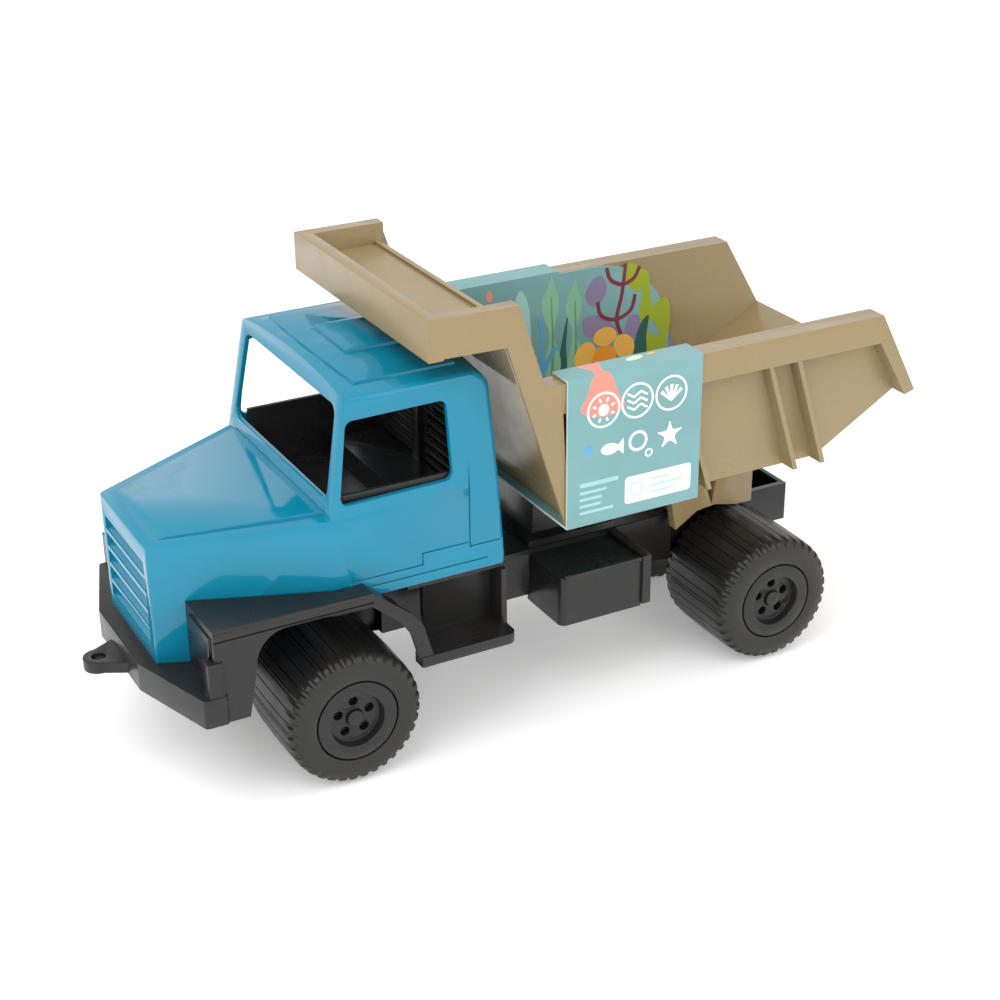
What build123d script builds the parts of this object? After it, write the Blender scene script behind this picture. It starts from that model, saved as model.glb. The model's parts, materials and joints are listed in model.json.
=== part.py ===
"""Toy tipper truck, built as the separate pieces it comes apart into.

Millimetres, +X towards the front, +Y to the truck's left, +Z up.
X stations are measured forward from the rear axle while the pieces are drawn; save() then
moves every piece so that the origin is on the ground, midway along the overall length.
"""

import os

from build123d import *

# ---- driving dimensions -------------------------------------------------------------------
WHEELBASE = 160.0
WHEEL_RADIUS = 23.0
WHEEL_OUTER_Y = 52.9
WHEEL_WIDTH = 37.6
AXLE_RADIUS = 2.0
RUNNING_GAP = 0.05  # radial clearance of a turning shaft
FIT_GAP = 0.3  # clearance between pieces that pass each other
WALL = 2.0  # usual moulded wall
NOSE_X = 230.6  # tip of the tow eye
TAIL_X = -56.1  # lowest tip of the load body's rear flange
MID_X = (NOSE_X + TAIL_X) / 2

# chassis frame
FRAME_BOTTOM_Z = 31.5
FRAME_TOP_Z = 48.6
FRAME_HALF_WIDTH = 20.0
FRAME_WAIST = 14.5  # half-width between the wheels
FRAME_REAR_X = -30.8
TRAY_TOP_Z = 46.0
TRAY_FRONT_X = -10.8
FRAME_FRONT_X = 198.0
FRAME_NOSE_TOP_Z = 41.0
SADDLE_BOTTOM_Z = 17.0
PIVOT_Z = 55.5
PIN_RADIUS = 2.0
BED_REST_TOP_Z = 69.5
TANK_OUTER_Y = 42.0
TANK_BOTTOM_Z = 29.3
TANK_TOP_Z = 47.0

# front moulding
BUMPER_BOTTOM_Z = 34.0
DECK_TOP_Z = 43.6
BUMPER_HALF_WIDTH = 51.4
FENDER_FRONT_X = 204.0
FENDER_TOP_Z = 65.0
FENDER_OUTER_Y = 50.0
CAB_FLOOR_Z = 59.6
STEP_REAR_X = 101.6
STEP_FRONT_X = 136.0
STEP_OUTER_Y = 48.0
STEP_BOTTOM_Z = 34.0

# cab and bonnet
BONNET_FRONT_X = 213.6
BONNET_FRONT_HALF_WIDTH = 22.3
BONNET_FRONT_Z = 83.6
CAB_HALF_WIDTH = 42.3
CAB_FRONT_X = 161.7
CAB_REAR_X = 101.0
SCUTTLE_Z = 88.5
ROOF_EDGE_Z = 126.4
ROOF_HALF_WIDTH = 40.6
ROOF_FRONT_X = 154.8
ROOF_CROWN_Z = 129.2
ROOF_REAR_X = 106.0

# load body
FLOOR_BOTTOM_Z = 71.4
BODY_HALF_WIDTH = 44.5
RIM_TOP_Z = 120.7
RIM_HALF_WIDTH = 50.3
RIM_DEPTH = 10.0
BULKHEAD_FOOT_X = 83.2
BULKHEAD_FOOT_Z = 69.6
BULKHEAD_LEAN = 0.3205  # forward travel for each millimetre up
BULKHEAD_RECESS = 3.0
CANOPY_FRONT_X = 131.0
CANOPY_BOTTOM_Z = 136.4
CANOPY_TOP_Z = 149.3
CANOPY_RIM = 5.0

# card sleeve
CARD = 0.8
SLEEVE_REAR_X = 33.8
SLEEVE_FRONT_X = 84.0
SLEEVE_INNER_Y = RIM_HALF_WIDTH + 0.2

os.makedirs("parts", exist_ok=True)


def save(builder, name):
    """Move a finished piece to the part frame and write its STEP file."""
    piece = builder.part.moved(Location((-MID_X, 0, 0)))
    piece.label = name
    export_step(piece, f"parts/{name}.step")


def side_plane(y):
    """Plane at the given Y whose local x is +X and whose normal is -Y."""
    return Plane(origin=(0, y, 0), x_dir=(1, 0, 0), z_dir=(0, -1, 0))


def cross_plane(x):
    """Plane at the given X whose local x is +Y and whose normal is +X."""
    return Plane(origin=(x, 0, 0), x_dir=(0, 1, 0), z_dir=(1, 0, 0))


def bulkhead_x(z, back=0.0):
    """X of the leaning front edge of the load body at height z, moved back by an amount."""
    return BULKHEAD_FOOT_X + (z - BULKHEAD_FOOT_Z) * BULKHEAD_LEAN - back


def bonnet_half_width(x):
    """Half-width of the tapered bonnet at station x."""
    along = (BONNET_FRONT_X - x) / (BONNET_FRONT_X - CAB_FRONT_X)
    return BONNET_FRONT_HALF_WIDTH + along * (CAB_HALF_WIDTH - BONNET_FRONT_HALF_WIDTH)


# ---- chassis frame ------------------------------------------------------------------------
FRAME_HEIGHT = FRAME_TOP_Z - FRAME_BOTTOM_Z
WAIST_REAR_END = 23.0  # the frame widens ahead of the rear wheels
WAIST_FRONT = (136.0, 184.0)  # and narrows again between the front wheels
UNDERSIDE_POCKETS = (
    (8.0, WAIST_REAR_END, FRAME_WAIST),
    (WAIST_REAR_END + WALL, WAIST_FRONT[0] - WALL, FRAME_HALF_WIDTH),
    (WAIST_FRONT[0] + WALL, WHEELBASE - 7, FRAME_WAIST),
    (WHEELBASE + 7, WAIST_FRONT[1] - WALL, FRAME_WAIST),
)
TANK_X = (49.1, 80.4)
CAB_SCREW_REAR = (107.5, 10.0)
CAB_SCREW_FRONT = (178.0, 8.0)
MOULDING_SCREW_REAR = (126.0, 8.0)
MOULDING_SCREW_FRONT = (191.0, 8.0)
SCREW_RADIUS = 1.25
SCREW_HEAD_RADIUS = 2.5
SCREW_HEAD_HEIGHT = 1.8
SCREW_HOLE_RADIUS = 1.6
WEB_BOTTOM_Z = FRAME_TOP_Z - WALL
HINGE_BOSS_RADIUS = 5.0
HINGE_BOSS_HALF_LENGTH = 22.0


def pair(point):
    """A plan point and its mirror image on the other side of the truck."""
    x, y = point
    return [(x, -y), (x, y)]


SCREW_POINTS = pair(CAB_SCREW_REAR) + pair(CAB_SCREW_FRONT) + pair(MOULDING_SCREW_REAR)
NOSE_SCREW_POINTS = pair(MOULDING_SCREW_FRONT)

with BuildPart() as chassis_frame:
    with BuildSketch(Plane.XY.offset(FRAME_BOTTOM_Z)):
        with BuildLine():
            Polyline(
                (FRAME_REAR_X, 0),
                (FRAME_REAR_X, FRAME_WAIST),
                (WAIST_REAR_END, FRAME_WAIST),
                (WAIST_REAR_END, FRAME_HALF_WIDTH),
                (WAIST_FRONT[0], FRAME_HALF_WIDTH),
                (WAIST_FRONT[0], FRAME_WAIST),
                (WAIST_FRONT[1], FRAME_WAIST),
                (WAIST_FRONT[1], 0),
                close=True,
            )
        make_face()
        mirror(about=Plane.XZ)
    extrude(amount=FRAME_HEIGHT)
    # low nose that carries the bumper deck
    with Locations((WAIST_FRONT[1] - WALL, 0, FRAME_BOTTOM_Z)):
        Box(
            FRAME_FRONT_X - WAIST_FRONT[1] + WALL,
            2 * FRAME_WAIST,
            FRAME_NOSE_TOP_Z - FRAME_BOTTOM_Z,
            align=(Align.MIN, Align.CENTER, Align.MIN),
        )
    # open underside, in pockets between the saddles
    for x_from, x_to, half_width in UNDERSIDE_POCKETS:
        with Locations((x_from, 0, FRAME_BOTTOM_Z)):
            Box(
                x_to - x_from,
                2 * (half_width - WALL),
                FRAME_HEIGHT - WALL,
                align=(Align.MIN, Align.CENTER, Align.MIN),
                mode=Mode.SUBTRACT,
            )
    # open tray behind the hinge, with a slightly lower rim
    with Locations((FRAME_REAR_X + WALL, 0, FRAME_BOTTOM_Z + WALL)):
        Box(
            TRAY_FRONT_X - FRAME_REAR_X,
            2 * (FRAME_WAIST - WALL),
            FRAME_HEIGHT,
            align=(Align.MIN, Align.CENTER, Align.MIN),
            mode=Mode.SUBTRACT,
        )
    with Locations((FRAME_REAR_X, 0, TRAY_TOP_Z)):
        Box(
            TRAY_FRONT_X + WALL - FRAME_REAR_X,
            2 * FRAME_WAIST,
            FRAME_HEIGHT,
            align=(Align.MIN, Align.CENTER, Align.MIN),
            mode=Mode.SUBTRACT,
        )
    # axle saddles
    for axle_x in (0.0, WHEELBASE):
        with Locations((axle_x, 0, SADDLE_BOTTOM_Z)):
            Box(12, 2 * FRAME_WAIST, FRAME_TOP_Z - SADDLE_BOTTOM_Z, align=(Align.CENTER, Align.CENTER, Align.MIN))
    # hinge tower with its cross tube
    with Locations((0, 0, FRAME_BOTTOM_Z)):
        Box(10, 2 * FRAME_WAIST, PIVOT_Z - FRAME_BOTTOM_Z, align=(Align.CENTER, Align.CENTER, Align.MIN))
    with BuildSketch(side_plane(HINGE_BOSS_HALF_LENGTH)):
        with Locations((0, PIVOT_Z)):
            Circle(HINGE_BOSS_RADIUS)
    extrude(amount=2 * HINGE_BOSS_HALF_LENGTH)
    # bed rest on its pad
    with Locations((46, 0, FRAME_TOP_Z)):
        Box(34, 2 * 19, 2.4, align=(Align.MIN, Align.CENTER, Align.MIN))
    with BuildSketch(Plane.XY.offset(FRAME_TOP_Z)):
        with Locations((63, 0)):
            Rectangle(26, 28)
    extrude(amount=BED_REST_TOP_Z - FRAME_TOP_Z, taper=6)
    # tank boxes on both sides
    for side in (-1, 1):
        with Locations(((TANK_X[0] + TANK_X[1]) / 2, side * (FRAME_HALF_WIDTH - 1), TANK_BOTTOM_Z)):
            Box(
                TANK_X[1] - TANK_X[0],
                TANK_OUTER_Y - FRAME_HALF_WIDTH + 1,
                TANK_TOP_Z - TANK_BOTTOM_Z,
                align=(Align.CENTER, Align.MIN if side > 0 else Align.MAX, Align.MIN),
            )
    tank_corners = chassis_frame.edges().filter_by(Axis.Z).filter_by_position(
        Axis.X, TANK_X[1] - 0.1, TANK_X[1] + 0.1
    ).filter_by(lambda edge: abs(edge.center().Y) > TANK_OUTER_Y - 0.1)
    fillet(tank_corners, 2.5)
    for side in (-1, 1):
        # flange that closes the back of the tank, and the bead along its top edge
        with Locations((TANK_X[0], side * (FRAME_HALF_WIDTH - 1), TANK_BOTTOM_Z + 1)):
            Box(
                3.2,
                TANK_OUTER_Y - FRAME_HALF_WIDTH + 2,
                TANK_TOP_Z - TANK_BOTTOM_Z + 0.5,
                align=(Align.MAX, Align.MIN if side > 0 else Align.MAX, Align.MIN),
            )
        with BuildSketch(cross_plane(TANK_X[0])):
            with Locations((side * (TANK_OUTER_Y - 0.5), TANK_TOP_Z)):
                Circle(1.0)
        extrude(amount=TANK_X[1] - TANK_X[0] - 2.5)
        with Locations((TANK_X[1] - 2.5, side * (TANK_OUTER_Y - 0.5), TANK_TOP_Z)):
            Sphere(1.3)
    # rear towing lug
    with BuildSketch(Plane.XY.offset(FRAME_BOTTOM_Z)):
        with Locations((FRAME_REAR_X, 0)):
            Circle(6)
            Circle(2.2, mode=Mode.SUBTRACT)
        with Locations((FRAME_REAR_X + 5, 0)):
            Rectangle(10, 12, mode=Mode.SUBTRACT)
    extrude(amount=3.5)
    # bores for the axles, the hinge pin and the screws
    for axle_x in (0.0, WHEELBASE):
        with BuildSketch(side_plane(FRAME_HALF_WIDTH)):
            with Locations((axle_x, WHEEL_RADIUS)):
                Circle(AXLE_RADIUS + RUNNING_GAP)
        extrude(amount=2 * FRAME_HALF_WIDTH, mode=Mode.SUBTRACT)
    with BuildSketch(side_plane(HINGE_BOSS_HALF_LENGTH + 1)):
        with Locations((0, PIVOT_Z)):
            Circle(PIN_RADIUS)
    extrude(amount=2 * HINGE_BOSS_HALF_LENGTH + 2, mode=Mode.SUBTRACT)
    with BuildSketch(Plane.XY.offset(WEB_BOTTOM_Z - 1)):
        with Locations(*SCREW_POINTS):
            Circle(SCREW_HOLE_RADIUS)
    extrude(amount=WALL + 2, mode=Mode.SUBTRACT)
    with BuildSketch(Plane.XY.offset(FRAME_BOTTOM_Z - 1)):
        with Locations(*NOSE_SCREW_POINTS):
            Circle(SCREW_HOLE_RADIUS)
    extrude(amount=FRAME_NOSE_TOP_Z - FRAME_BOTTOM_Z + 2, mode=Mode.SUBTRACT)
save(chassis_frame, "chassis_frame")


# ---- front moulding: bumper, fenders and steps ---------------------------------------------
BUMPER_FRONT_X = 218.8
FENDER_REAR_X = 131.0
ARCH_TOP_Z = 61.0
ARCH_FRONT_X = 194.0
ARCH_REAR_X = 135.4
ARCH_RADIUS = 10.5
SKIRT_BOTTOM_Z = 33.6
FENDER_INNER_DEPTH_Z = 57.0  # the inner walls stop above the tyres
TOW_EYE_X = 225.6
TOW_EYE_Z = 34.6
TOW_EYE_THICKNESS = 3.6
TOW_EYE_HOLE = 2.3
TOW_EYE_FOOT = 9.0  # half-width where the eye joins the bumper
STEP_TREAD_TOP_Z = 37.6
STEP_RECESS_DEPTH = 13.0
STEP_ROOF_Y = CAB_HALF_WIDTH - 1.2
STEP_WALL_Y = 43.3
STEP_LIP = 2.5  # the tread stands this much proud of the recess
STEP_INNER_FRONT_X = 128.0  # the tread's front edge slants back to here
FENDER_EDGE_RADIUS = 1.1
LIP_LINE_Z = 61.7  # moulded line under the fender's lip
LIP_LINE = 0.5


def fender_outline(inset):
    """Side outline of a fender in the active line builder, pulled in by a wall."""
    Polyline(
        (FENDER_FRONT_X - inset, SKIRT_BOTTOM_Z - inset),
        (FENDER_FRONT_X - inset, FENDER_TOP_Z - inset),
        (152.0 + inset / 2, FENDER_TOP_Z - inset),
        (138.6 + inset / 2, 54.0 - inset / 2),
        (134.9 + inset, 49.0),
        (FENDER_REAR_X + inset, 35.0),
        (FENDER_REAR_X + inset, SKIRT_BOTTOM_Z - inset),
        close=True,
    )


def fender_plan(inset):
    """Plan outline of the left fender in the active line builder, pulled in by a wall."""
    Polyline(
        (FENDER_FRONT_X + 1, bonnet_half_width(FENDER_FRONT_X + 1) + FIT_GAP + inset),
        (CAB_FRONT_X, CAB_HALF_WIDTH + FIT_GAP + inset),
        (FENDER_REAR_X - 1, CAB_HALF_WIDTH + FIT_GAP + inset),
        (FENDER_REAR_X - 1, FENDER_OUTER_Y - inset),
        (FENDER_FRONT_X + 1, FENDER_OUTER_Y - inset),
        close=True,
    )


def fender_volume(inset):
    """Left fender block, or the space inside it when given a wall to pull in by."""
    with BuildPart() as block:
        with BuildSketch(side_plane(FENDER_OUTER_Y)):
            with BuildLine():
                fender_outline(inset)
            make_face()
        extrude(amount=FENDER_OUTER_Y)
        with BuildSketch():
            with BuildLine():
                fender_plan(inset)
            make_face()
        extrude(amount=FENDER_TOP_Z + 1, mode=Mode.INTERSECT)
    return block.part


def bumper_outline(inset):
    """Plan outline of the bumper in the active line builder, pulled in by a wall."""
    half = BUMPER_HALF_WIDTH - inset
    front = BUMPER_FRONT_X - inset
    corner = 208.6 - inset
    Polyline(
        (201.6, -half),
        (corner, -half),
        (front, -19.4),
        (front, 19.4),
        (corner, half),
        (201.6, half),
        (184.5, 24.0),
        (184.5, -24.0),
        close=True,
    )


with BuildPart() as fender:
    add(fender_volume(0))
    top_edges = fender.edges().filter_by(Axis.X).filter_by(
        lambda edge: edge.center().Z > FENDER_TOP_Z - 0.1 and edge.center().Y > FENDER_OUTER_Y - 0.1
    )
    fillet(top_edges, FENDER_EDGE_RADIUS)
    add(fender_volume(WALL), mode=Mode.SUBTRACT)
    with BuildSketch(side_plane(FENDER_OUTER_Y)):
        with Locations(((ARCH_FRONT_X + CAB_FRONT_X) / 2, LIP_LINE_Z)):
            Rectangle(2 * (FENDER_FRONT_X - ARCH_FRONT_X) + ARCH_FRONT_X - CAB_FRONT_X, LIP_LINE)
    extrude(amount=LIP_LINE, mode=Mode.SUBTRACT)

with BuildPart() as front_moulding:
    # bumper with its deck, hollow from below
    with BuildSketch(Plane.XY.offset(BUMPER_BOTTOM_Z)):
        with BuildLine():
            bumper_outline(0)
        make_face()
    extrude(amount=DECK_TOP_Z - BUMPER_BOTTOM_Z)
    fillet(front_moulding.edges().filter_by(Axis.Z).filter_by_position(Axis.X, 208, 219), 1.5)
    with BuildSketch(Plane.XY.offset(BUMPER_BOTTOM_Z)):
        with BuildLine():
            bumper_outline(2.4)
        make_face()
    extrude(amount=DECK_TOP_Z - BUMPER_BOTTOM_Z - 2.4, mode=Mode.SUBTRACT)
    # left fender; its inner wall stops short above the tyre
    add(fender.part)
    with BuildSketch(side_plane(FENDER_OUTER_Y - WALL)):
        with Locations(((FENDER_REAR_X + 3 + FENDER_FRONT_X - WALL) / 2, 0)):
            Rectangle(FENDER_FRONT_X - WALL - FENDER_REAR_X - 3, 2 * FENDER_INNER_DEPTH_Z)
    extrude(amount=FENDER_OUTER_Y - WALL - FRAME_WAIST - 10, mode=Mode.SUBTRACT)
    # wheel arch in the outer wall
    with BuildSketch(side_plane(FENDER_OUTER_Y + 1)) as arch:
        with BuildLine():
            Polyline(
                (ARCH_FRONT_X, 0),
                (ARCH_FRONT_X, SKIRT_BOTTOM_Z),
                (ARCH_FRONT_X - 3.2, ARCH_TOP_Z - 11),
                (ARCH_FRONT_X - 3.6, ARCH_TOP_Z),
                (153.0, ARCH_TOP_Z),
                (142.4, 51.8),
                (139.0, 46.5),
                (ARCH_REAR_X, SKIRT_BOTTOM_Z),
                (ARCH_REAR_X, 0),
                close=True,
            )
        make_face()
        fillet(arch.vertices().group_by(Axis.Y)[-1].sort_by(Axis.X)[-1], ARCH_RADIUS)
    extrude(amount=WALL + 2, mode=Mode.SUBTRACT)
    # corner lamp on the end of the bumper
    with Locations((204.2, FENDER_OUTER_Y - 1.5, DECK_TOP_Z - 1)):
        Box(4.8, 4.8, 12.6, align=(Align.CENTER, Align.CENTER, Align.MIN))
    # headlamp bezel on the front face
    with BuildSketch(cross_plane(FENDER_FRONT_X)):
        with BuildLine():
            Polyline((30.5, 62.5), (30.5, 49.0), (42.5, 49.8), (47.5, 56.5), (47.5, 62.5), close=True)
        make_face()
    extrude(amount=0.8)
    # step box: roof, rear wall, recess back and tread
    with Locations((STEP_REAR_X, FRAME_HALF_WIDTH, CAB_FLOOR_Z - WALL)):
        Box(STEP_FRONT_X - STEP_REAR_X, STEP_ROOF_Y - FRAME_HALF_WIDTH, WALL, align=Align.MIN)
    with Locations((STEP_REAR_X, STEP_WALL_Y, STEP_BOTTOM_Z)):
        Box(
            WALL,
            STEP_WALL_Y - FRAME_HALF_WIDTH - FIT_GAP,
            CAB_FLOOR_Z - WALL - STEP_BOTTOM_Z,
            align=(Align.MIN, Align.MAX, Align.MIN),
        )
    with Locations((STEP_REAR_X, STEP_OUTER_Y - STEP_RECESS_DEPTH, STEP_BOTTOM_Z)):
        Box(
            STEP_INNER_FRONT_X - STEP_REAR_X,
            WALL,
            CAB_FLOOR_Z - STEP_BOTTOM_Z,
            align=(Align.MIN, Align.MAX, Align.MIN),
        )
    with BuildSketch(Plane.XY.offset(STEP_BOTTOM_Z)) as tread:
        with BuildLine():
            Polyline(
                (STEP_REAR_X, STEP_OUTER_Y + STEP_LIP),
                (STEP_FRONT_X, STEP_OUTER_Y + STEP_LIP),
                (STEP_FRONT_X, STEP_WALL_Y + 2),
                (STEP_INNER_FRONT_X, STEP_OUTER_Y - STEP_RECESS_DEPTH - 0.5),
                (STEP_REAR_X, STEP_OUTER_Y - STEP_RECESS_DEPTH - 0.5),
                close=True,
            )
        make_face()
        fillet(tread.vertices().group_by(Axis.X)[0].group_by(Axis.Y)[-1], 3)
    extrude(amount=STEP_TREAD_TOP_Z - STEP_BOTTOM_Z)
    mirror(about=Plane.XZ)
    # cab floor between the step boxes, on two spacers that stand on the frame
    with Locations((STEP_REAR_X, 0, CAB_FLOOR_Z - WALL)):
        Box(50, 2 * FRAME_HALF_WIDTH + 2, WALL, align=(Align.MIN, Align.CENTER, Align.MIN))
    for x in (CAB_SCREW_REAR[0], MOULDING_SCREW_REAR[0]):
        with Locations((x, 0, FRAME_TOP_Z)):
            Box(8, 30, CAB_FLOOR_Z - FRAME_TOP_Z - 1, align=(Align.CENTER, Align.CENTER, Align.MIN))
    # screw bosses under the deck
    with BuildSketch(Plane.XY.offset(FRAME_NOSE_TOP_Z)):
        with Locations((MOULDING_SCREW_FRONT[0], 0)):
            Rectangle(12, 26)
    extrude(amount=DECK_TOP_Z - FRAME_NOSE_TOP_Z)
    # tow eye under the nose
    with BuildSketch(Plane.XY.offset(TOW_EYE_Z)) as tow_eye:
        with BuildLine():
            Polyline(
                (BUMPER_FRONT_X - 2.8, TOW_EYE_FOOT),
                (BUMPER_FRONT_X - 0.8, TOW_EYE_FOOT),
                (TOW_EYE_X + 3.0, 3.4),
                (TOW_EYE_X + 3.0, -3.4),
                (BUMPER_FRONT_X - 0.8, -TOW_EYE_FOOT),
                (BUMPER_FRONT_X - 2.8, -TOW_EYE_FOOT),
                close=True,
            )
        make_face()
        with Locations((TOW_EYE_X, 0)):
            Circle(NOSE_X - TOW_EYE_X)
            Circle(TOW_EYE_HOLE, mode=Mode.SUBTRACT)
    extrude(amount=TOW_EYE_THICKNESS)
    # holes for the screws
    with BuildSketch(Plane.XY.offset(FRAME_TOP_Z - 1)):
        with Locations(*pair(CAB_SCREW_REAR)):
            Circle(SCREW_HOLE_RADIUS)
    extrude(amount=CAB_FLOOR_Z - FRAME_TOP_Z + 2, mode=Mode.SUBTRACT)
    with BuildSketch(Plane.XY.offset(FRAME_TOP_Z - 1)):
        with Locations(*pair(MOULDING_SCREW_REAR)):
            Circle(SCREW_RADIUS)
    extrude(amount=9, mode=Mode.SUBTRACT)
    with BuildSketch(Plane.XY.offset(FRAME_NOSE_TOP_Z - 1)):
        with Locations(*NOSE_SCREW_POINTS):
            Circle(SCREW_RADIUS)
    extrude(amount=2.6, mode=Mode.SUBTRACT)
save(front_moulding, "front_moulding")


# ---- cab shell ------------------------------------------------------------------------------
CAB_WALL = 2.0
SCREEN_WALL_SHARE = 0.6  # the wall round the windscreen is this much thinner
NOSE_WALL = 3.2
WINDSCREEN_LEAN = (CAB_FRONT_X - ROOF_FRONT_X) / (ROOF_EDGE_Z - SCUTTLE_Z)
ROOF_TOP_X = ROOF_FRONT_X - (ROOF_CROWN_Z + 1 - ROOF_EDGE_Z) * WINDSCREEN_LEAN
LOUVRE_COUNT = 5
LOUVRE_PITCH = 6.0
LOUVRE_TOP_Z = 77.2
LOUVRE_HALF_WIDTH = 18.8
LOUVRE_GAP = 4.6
PANEL_LINE = 0.5  # width and depth of the moulded panel lines
BONNET_UNDER_Z = 60.0
BONNET_STEP = 1.3  # rise of the bonnet's centre panel at the windscreen
BONNET_NOSE_STEP = 0.6  # the same near the nose
BONNET_LEDGE = 4.6  # width of the ledge beside that panel
ROOF_STEP = 0.8  # the roof panel stands this much proud of the roof
HATCH_STEP = 1.8  # and the hatch this much


def cab_volume(inset, front_inset):
    """Outer volume of bonnet and cab, or the space inside it when given walls."""
    with BuildPart() as block:
        with BuildSketch(side_plane(50)):
            with BuildLine():
                Polyline(
                    (BONNET_FRONT_X - front_inset, DECK_TOP_Z - inset),
                    (BONNET_FRONT_X - front_inset, BONNET_FRONT_Z - inset),
                    (CAB_FRONT_X - inset * SCREEN_WALL_SHARE, SCUTTLE_Z - inset),
                    (ROOF_TOP_X - inset * SCREEN_WALL_SHARE, ROOF_CROWN_Z + 1 - inset),
                    (ROOF_REAR_X + inset, ROOF_CROWN_Z + 1 - inset),
                    (CAB_REAR_X + inset, CAB_FLOOR_Z + 3),
                    (CAB_REAR_X + inset, CAB_FLOOR_Z - inset),
                    (144.0, CAB_FLOOR_Z - inset),
                    (149.0, BONNET_UNDER_Z - inset),
                    (187.0, BONNET_UNDER_Z - inset),
                    (187.0, DECK_TOP_Z - inset),
                    close=True,
                )
            make_face()
        extrude(amount=100)
        with BuildSketch(Plane.XY.offset(DECK_TOP_Z - 10)):
            with BuildLine():
                front = BONNET_FRONT_HALF_WIDTH - inset
                half = CAB_HALF_WIDTH - inset
                Polyline(
                    (BONNET_FRONT_X + 1, -front),
                    (BONNET_FRONT_X + 1, front),
                    (BONNET_FRONT_X, front),
                    (CAB_FRONT_X, half),
                    (CAB_REAR_X - 1, half),
                    (CAB_REAR_X - 1, -half),
                    (CAB_FRONT_X, -half),
                    (BONNET_FRONT_X, -front),
                    close=True,
                )
            make_face()
        extrude(amount=100, mode=Mode.INTERSECT)
        with BuildSketch(cross_plane(BONNET_FRONT_X + 1)):
            with BuildLine():
                half = CAB_HALF_WIDTH - inset
                roof = ROOF_HALF_WIDTH - inset
                edge = ROOF_EDGE_Z - inset
                Polyline(
                    (roof, edge), (half, SCUTTLE_Z), (half, 0), (-half, 0), (-half, SCUTTLE_Z), (-roof, edge)
                )
                ThreePointArc((-roof, edge), (0, ROOF_CROWN_Z - inset), (roof, edge))
            make_face()
        extrude(amount=-130, mode=Mode.INTERSECT)
    return block.part


cab_outer = cab_volume(0, 0)
cab_inner = cab_volume(CAB_WALL, NOSE_WALL)

# centre panel of the bonnet, rising out of it behind the nose and proudest at the windscreen
with BuildPart() as bonnet_panel:
    with BuildSketch(side_plane(CAB_HALF_WIDTH)):
        with BuildLine():
            Polyline(
                (BONNET_FRONT_X - 4, BONNET_FRONT_Z - 1.2),
                (BONNET_FRONT_X - 4, BONNET_FRONT_Z + 0.3),
                (BONNET_FRONT_X - 8, BONNET_FRONT_Z + 0.75 + BONNET_NOSE_STEP),
                (CAB_FRONT_X, SCUTTLE_Z + BONNET_STEP),
                (CAB_FRONT_X - 1, SCUTTLE_Z - 1.2),
                close=True,
            )
        make_face()
    extrude(amount=2 * CAB_HALF_WIDTH)
    with BuildSketch(Plane.XY.offset(BONNET_FRONT_Z - 5)):
        with BuildLine():
            front = BONNET_FRONT_HALF_WIDTH - BONNET_LEDGE
            rear = CAB_HALF_WIDTH - BONNET_LEDGE
            Polyline(
                (BONNET_FRONT_X, front),
                (CAB_FRONT_X - 2, rear),
                (CAB_FRONT_X - 2, -rear),
                (BONNET_FRONT_X, -front),
                close=True,
            )
        make_face()
    extrude(amount=15, mode=Mode.INTERSECT)

with BuildPart() as roof_panel:
    with BuildSketch(Plane.XY.offset(ROOF_EDGE_Z - 1)):
        with BuildLine():
            Polyline((148.0, 33.5), (114.0, 33.5), (114.0, -33.5), (148.0, -33.5))
            ThreePointArc((148.0, -33.5), (150.5, 0), (148.0, 33.5))
        make_face()
    extrude(amount=10)
    add(cab_volume(-ROOF_STEP, 0), mode=Mode.INTERSECT)

with BuildPart() as roof_hatch:
    with BuildSketch(Plane.XY.offset(ROOF_EDGE_Z - 1)) as hatch:
        with Locations((129.6, 1.5)):
            Rectangle(25, 25.4)
        fillet(hatch.vertices(), 2)
    extrude(amount=10)
    add(cab_volume(-HATCH_STEP, 0), mode=Mode.INTERSECT)

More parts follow.
